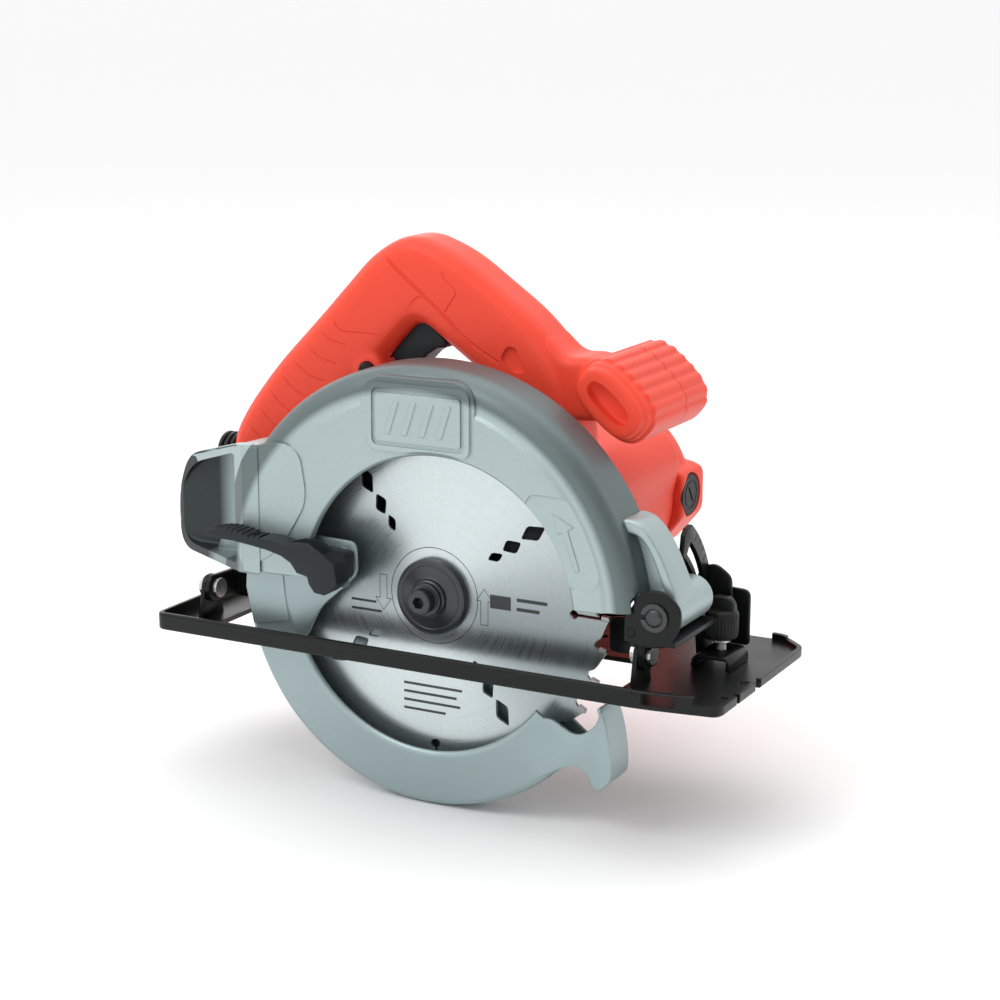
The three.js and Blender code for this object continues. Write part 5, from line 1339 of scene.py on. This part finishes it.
def front_bracket():
    low, high = corners("front_bracket")
    near, far = low.y, high.y
    web_bottom, web_top = -4.4, -2.0
    lobe = rounded(
        [
            (104.0, 7.4, 3), (104.0, web_bottom, 4), (114, web_bottom - 2.4, 6), (127, web_bottom, 7),
            (131.4, 6, 8), (131.2, 14, 9), (123, 21.4, 10), (112, 19.8, 9), (107.2, 11.4, 5),
        ],
        8,
    )
    ear = slab(lobe, near, near + 2.4, 0.7, 3)
    dimple = rod(2.2, near - 0.5, near + 0.5, (107.6, 0.0), edge=0.4)
    x = 109.1  # where the folded cross plate starts
    bolt = here(middle("bevel_lock_bolt"))
    lobe_far = rounded(
        [(x, 3.1, 0), (x, web_bottom, 0), (129, web_bottom, 4), (128, 5.5, 5), (127.6, 12, 6), (119, 18, 8),
            (111, 14, 6)], 6
    )
    back = x + 2.5
    web = block(104, 129, -12, 35.3, web_bottom, web_top, 0.4)
    tongue = rounded(
        [(-9, web_top, 0), (9, web_top, 0), (8, -14, 6), (5, -20.2, 5), (-5, -20.2, 5), (-8, -14, 6)], 6
    )
    arm = rounded(
        [(30, web_bottom, 0), (30, 2.2, 0), (bolt.y + 5, bolt.z + 7, 4), (bolt.y + 5, bolt.z - 6, 4),
         (bolt.y - 6, bolt.z - 6, 3)],
        6,
    )
    brace = rounded(
        [(84, -3, 3), (84, -19.5, 3), (97, -20, 6), (105, -8, 4), (110, web_bottom, 0), (110, web_top, 0),
            (100, web_top + 1, 3)], 6
    )
    made = join(
        ear, dimple,
        slab(brace, 15.4, 17.8, 0.6, 2),
        slab(lobe_far, far - 2.4, far, 0.6, 2),
        web,
        slab(tongue, x, back, 0.5, 2, along="X"),
        slab(arm, x, back, 0.5, 2, along="X"),
    )
    made = cut(
        made,
        rod(4.35, -20, 42, (HINGE.x, HINGE.z)),
        rod(3.35, x - 1, back + 1, (0, PIVOT_Z), along="X"),
        rod(3.1, x - 1, back + 1, (bolt.y, bolt.z), along="X"),
    )
    finished(made, "front_bracket_pressing", "tilt_frame", "black_paint", "front_bracket", crease=34)


def hinge_pin():
    low, high = corners("depth_hinge_pin")
    pin = turned(
        [
            (0, low.y), (2.6, low.y), (3.6, low.y + 0.5), (4.0, low.y + 1.1), (4.0, high.y - 2.2),
            (6.4, high.y - 2.2), (6.4, high.y - 0.6), (5.6, high.y), (0, high.y),
        ],
        (HINGE.x, HINGE.z),
        48,
    )
    finished(pin, "depth_hinge_pin_turned", "tilt_frame", "dark_steel", "depth_hinge_pin")


def quadrant():
    """The bevel scale: a curved slotted plate with a tick every five degrees."""
    x = here(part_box("bevel_quadrant")[0]).x
    z0 = PIVOT_Z
    outer = arc(0, 0, 64, -9, 55, 40)
    inner = arc(0, 0, 47.5, 57, -4, 40)
    foot = SOLE + 2.6 - z0
    outline = rounded([(px, py, 0.4) for px, py in (*outer, (35.2, 53.2), (30.5, 52.2), (27.5, 49.6),
        *inner, (49.5, foot), (64, foot))], 2)
    outline = [(px, py + z0) for px, py in outline]
    plate = slab(outline, x, x + 2.5, 0.4, 2, along="X")
    slot = [*arc(0, 0, 50.2, 1, 53, 30), *arc(0, 0, 56.8, 53, 1, 30)]
    plate = cut(plate, slab([(px, py + z0) for px, py in slot], x - 1, x + 4, along="X"))
    wing_top = SOLE + 35
    wing = rounded([(x + 0.5, SOLE + 8, 0), (135, SOLE + 8, 2), (135, wing_top, 4),
        (x + 0.5, wing_top + 1.0, 2)], 5)
    plate = join(plate, slab(wing, 61.7, 64, 0.6, 3))
    ticks = []
    for degree in range(0, 50, 5):
        a = math.radians(degree + 4)
        long = 4.2 if degree % 15 == 0 else 2.6
        tick = block(x + 2.1, x + 3, 62.8 - long, 62.8, -0.2, 0.2)
        tick = turned_about(tick, math.degrees(a), "X", (0, 0, 0))
        ticks.append(moved(tick, Matrix.Translation((0, 0, z0))))
    plate = cut(plate, *ticks)
    finished(plate, "bevel_quadrant_plate", "shoe", "black_paint", "bevel_quadrant", crease=34)


def bridge():
    low, high = corners("fence_bridge")
    x0, x1 = low.x, high.x
    crown = rounded(
        [
            (x0, low.z, 0), (x0, low.z + 3.6, 2), (x0 + 2.4, high.z, 2.4), (x1 - 2.4, high.z, 2.4),
            (x1, low.z + 3.6, 2), (x1, low.z, 0), (x1 - 2, low.z, 0), (x1 - 2.0, high.z - 2, 0.6),
            (x0 + 2.0, high.z - 2, 0.6), (x0 + 2, low.z, 0),
        ],
        4,
    )
    strap = slab(crown, low.y, high.y, 0.4, 2)
    strap = cut(strap, rod(3, low.z, high.z + 2, (KNOB.x, KNOB.y), along="Z"))
    finished(strap, "fence_bridge_strap", "shoe", "black_paint", "fence_bridge", crease=34)


def knob():
    low, high = corners("fence_knob")
    top = high.z - 6
    drum = turned(
        [
            (0, low.z), (6.9, low.z), (7.6, low.z + 0.7), (7.9, low.z + 3), (8.0, top - 3.0),
            (7.6, top - 1.2), (6.6, top - 0.2), (5.2, top), (0, top),
        ],
        (KNOB.x, KNOB.y),
        72, along="Z",
    )
    flutes = [
        rod(0.55, low.z + 1.6, top + 1, (KNOB.x + 8.2 * math.cos(a), KNOB.y + 8.2 * math.sin(a)), along="Z",
            steps=8)
        for a in (2 * math.pi * i / 30 for i in range(30))
    ]
    wing_side = rounded(
        [(KNOB.x - 7, top - 5, 0), (KNOB.x + 7, top - 5, 0), (KNOB.x + 6.6, top + 3, 3),
            (KNOB.x + 4, high.z, 3),
         (KNOB.x - 4, high.z, 3), (KNOB.x - 6.6, top + 3, 3)],
        6,
    )
    wing = slab(wing_side, KNOB.y - 2.4, KNOB.y + 2.4, 0.9, 3)
    made = join(cut(drum, *flutes), wing)
    made = cut(made, rod(2.9, low.z - 1, top - 4, (KNOB.x, KNOB.y), along="Z"))
    finished(made, "fence_knob_cap", "fence_knob", "black_plastic", "fence_knob")
    nut_low = here(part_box("fence_screw")[0]).z
    screw = turned(
        [
            (0, nut_low),
            *[(2.15 if i % 2 else 2.6, nut_low + 0.3 + i * 0.35) for i in range(22)],
            (2.6, low.z - 2), (4.2, low.z - 2), (4.2, low.z - 0.3), (2.6, low.z - 0.3),
            (2.6, top - 4.4), (0, top - 4.4),
        ],
        (KNOB.x, KNOB.y),
        36, along="Z",
    )
    finished(screw, "fence_screw_threaded", "fence_knob", "bright_steel", "fence_screw")


def rear_bracket():
    x = here(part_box("rear_bracket")[0]).x
    z0 = PIVOT_Z
    arm_y = 18.6
    arm = rounded(
        [(x, z0 - 9, 0), (-58, z0 - 9, 5), (-58, -8, 4), (-88, -8, 5), (x + 15, z0 + 6, 8), (x, z0 + 6, 0)], 7
    )
    cross = rounded(
        [(-7.5, z0 + 1, 0), (-7.5, z0 - 1, 0), (-5, z0 - 6.6, 5), (arm_y + 2.4, z0 - 9, 0),
            (arm_y + 2.4, z0 + 6, 0),
         (-5, z0 + 7, 5)],
        7,
    )
    made = join(
        slab(arm, arm_y, arm_y + 2.4, 0.5, 2),
        slab(cross, x, x + 2.5, 0.5, 2, along="X"),
    )
    bead = slab(
        rounded([(x + 18, z0 - 5.4, 2), (-66, z0 - 5.4, 2), (-66, z0 - 2.6, 2), (x + 18, z0 - 2.6, 2)], 5),
        arm_y - 0.9, arm_y + 0.5, 0.5, 3, ends=(True, False),
    )
    made = cut(join(made, bead), rod(3.35, x - 1, x + 4, (0, z0), along="X"))
    finished(made, "rear_bracket_pressing", "tilt_frame", "black_paint", "rear_bracket", crease=34)


def levers():
    low, high = corners("depth_lock_lever")
    arm = rounded(
        [(-68, -8.5, 0), (-61.5, -2, 8), (-68, 5, 0), (-86, 6.5, 6), (-107, 11.6, 4), (-111, 6.5, 4),
            (-109, 0.5, 4),
         (-88, -1.5, 6)],
        7,
    )
    lever = join(
        rod(7, low.y, high.y, DEPTH_STUD, edge=0.8, steps=48), slab(arm, low.y + 2, high.y, 1.2, 3)
    )
    lever = cut(lever, rod(3, low.y - 1, high.y + 1, DEPTH_STUD))
    finished(lever, "depth_lever_moulding", "depth_lever", "black_plastic", "depth_lock_lever")
    bolt = here(middle("bevel_lock_bolt"))
    low, high = corners("bevel_lock_lever")
    arm = rounded(
        [(bolt.y, bolt.z - 6, 0), (bolt.y + 30, bolt.z - 1.6, 4), (bolt.y + 34, bolt.z + 1, 3),
         (bolt.y + 34, bolt.z + 7, 3), (bolt.y + 26, bolt.z + 7, 5), (bolt.y, bolt.z + 6, 0)],
        6,
    )
    lever = join(
        rod(7, low.x, high.x, (bolt.y, bolt.z), along="X", edge=0.8, steps=48),
        slab(arm, low.x, low.x + 5, 1.2, 3, along="X"),
    )
    lever = cut(lever, rod(3.1, low.x - 1, high.x + 1, (bolt.y, bolt.z), along="X"))
    finished(lever, "bevel_lever_moulding", "bevel_lever", "black_plastic", "bevel_lock_lever")


shoe()
front_bracket()
hinge_pin()
quadrant()
bridge()
knob()
rear_bracket()
levers()


# ------------------------------------------------------------------ floor, light and camera
def stage():
    """A pale paper floor, a pale room and four soft lamps."""
    bm = bmesh.new()
    bmesh.ops.create_circle(bm, cap_ends=True, segments=64, radius=FLOOR_RADIUS)
    mesh = bpy.data.meshes.new("floor")
    bm.to_mesh(mesh)
    bm.free()
    floor = bpy.data.objects.new("floor", mesh)
    bpy.context.scene.collection.objects.link(floor)
    floor.location.z = cad_box[0][2] - 0.0006
    s = Sheet("floor_paper")
    s.set(Base_Color=(0.9, 0.9, 0.9, 1), Roughness=0.9)
    mesh.materials.append(s.material)

    world = bpy.data.worlds.new("studio")
    bpy.context.scene.world = world
    world.use_nodes = True
    background = world.node_tree.nodes["Background"]
    background.inputs["Color"].default_value = (1, 1, 1, 1)
    shade = Sheet("studio", world.node_tree)
    way = shade.node("ShaderNodeTexCoord", output="Generated")
    x, y, z = shade.parts(way)
    right = ((x * 0.86 + y * -0.12 + z * 0.42 - 0.35) * 1.9).at_least(0.0).at_most(1.0)
    low = ((0.12 - z) * 1.6).at_least(0.0).at_most(0.35)
    above = ((z - 0.55) * 1.6).at_least(0.0).at_most(0.4)
    shade.feed(background.inputs["Strength"], 1.06 - right * 0.8 - low + above)

    aim = Vector((0, 0, 0.06))
    for name, place, size, power in (
        ("key", (-0.7, -1.3, 1.6), 0.9, 9),
        ("top", (0.2, 0.3, 1.9), 1.6, 7),
        ("rim", (1.6, 0.6, 0.9), 0.9, 4),
        ("back_fill", (-1.3, 1.4, 1.0), 1.2, 4),
    ):
        lamp = bpy.data.lights.new(name, "AREA")
        lamp.energy = power
        lamp.size = size
        holder = bpy.data.objects.new(name, lamp)
        holder.location = place
        holder.rotation_euler = (aim - Vector(place)).to_track_quat("-Z", "Y").to_euler()
        bpy.context.scene.collection.objects.link(holder)


def camera():
    eye = Vector((0.49667, -0.92289, 0.31328))
    target = Vector((0.03473, -0.052, 0.08028))
    back = (eye - target).normalized()
    right = Vector((0.88319, 0.46901, 0.00207))
    right = (right - back * right.dot(back)).normalized()
    up = back.cross(right)
    data = bpy.data.cameras.new("camera")
    data.sensor_width = 36
    data.lens = 79.0
    data.clip_end = 100
    made = bpy.data.objects.new("camera", data)
    bpy.context.scene.collection.objects.link(made)
    turn = Matrix((right, up, back)).transposed()
    made.matrix_world = Matrix.Translation(eye) @ turn.to_4x4()
    bpy.context.scene.camera = made


stage()
camera()
bpy.context.scene.view_settings.view_transform = "Standard"
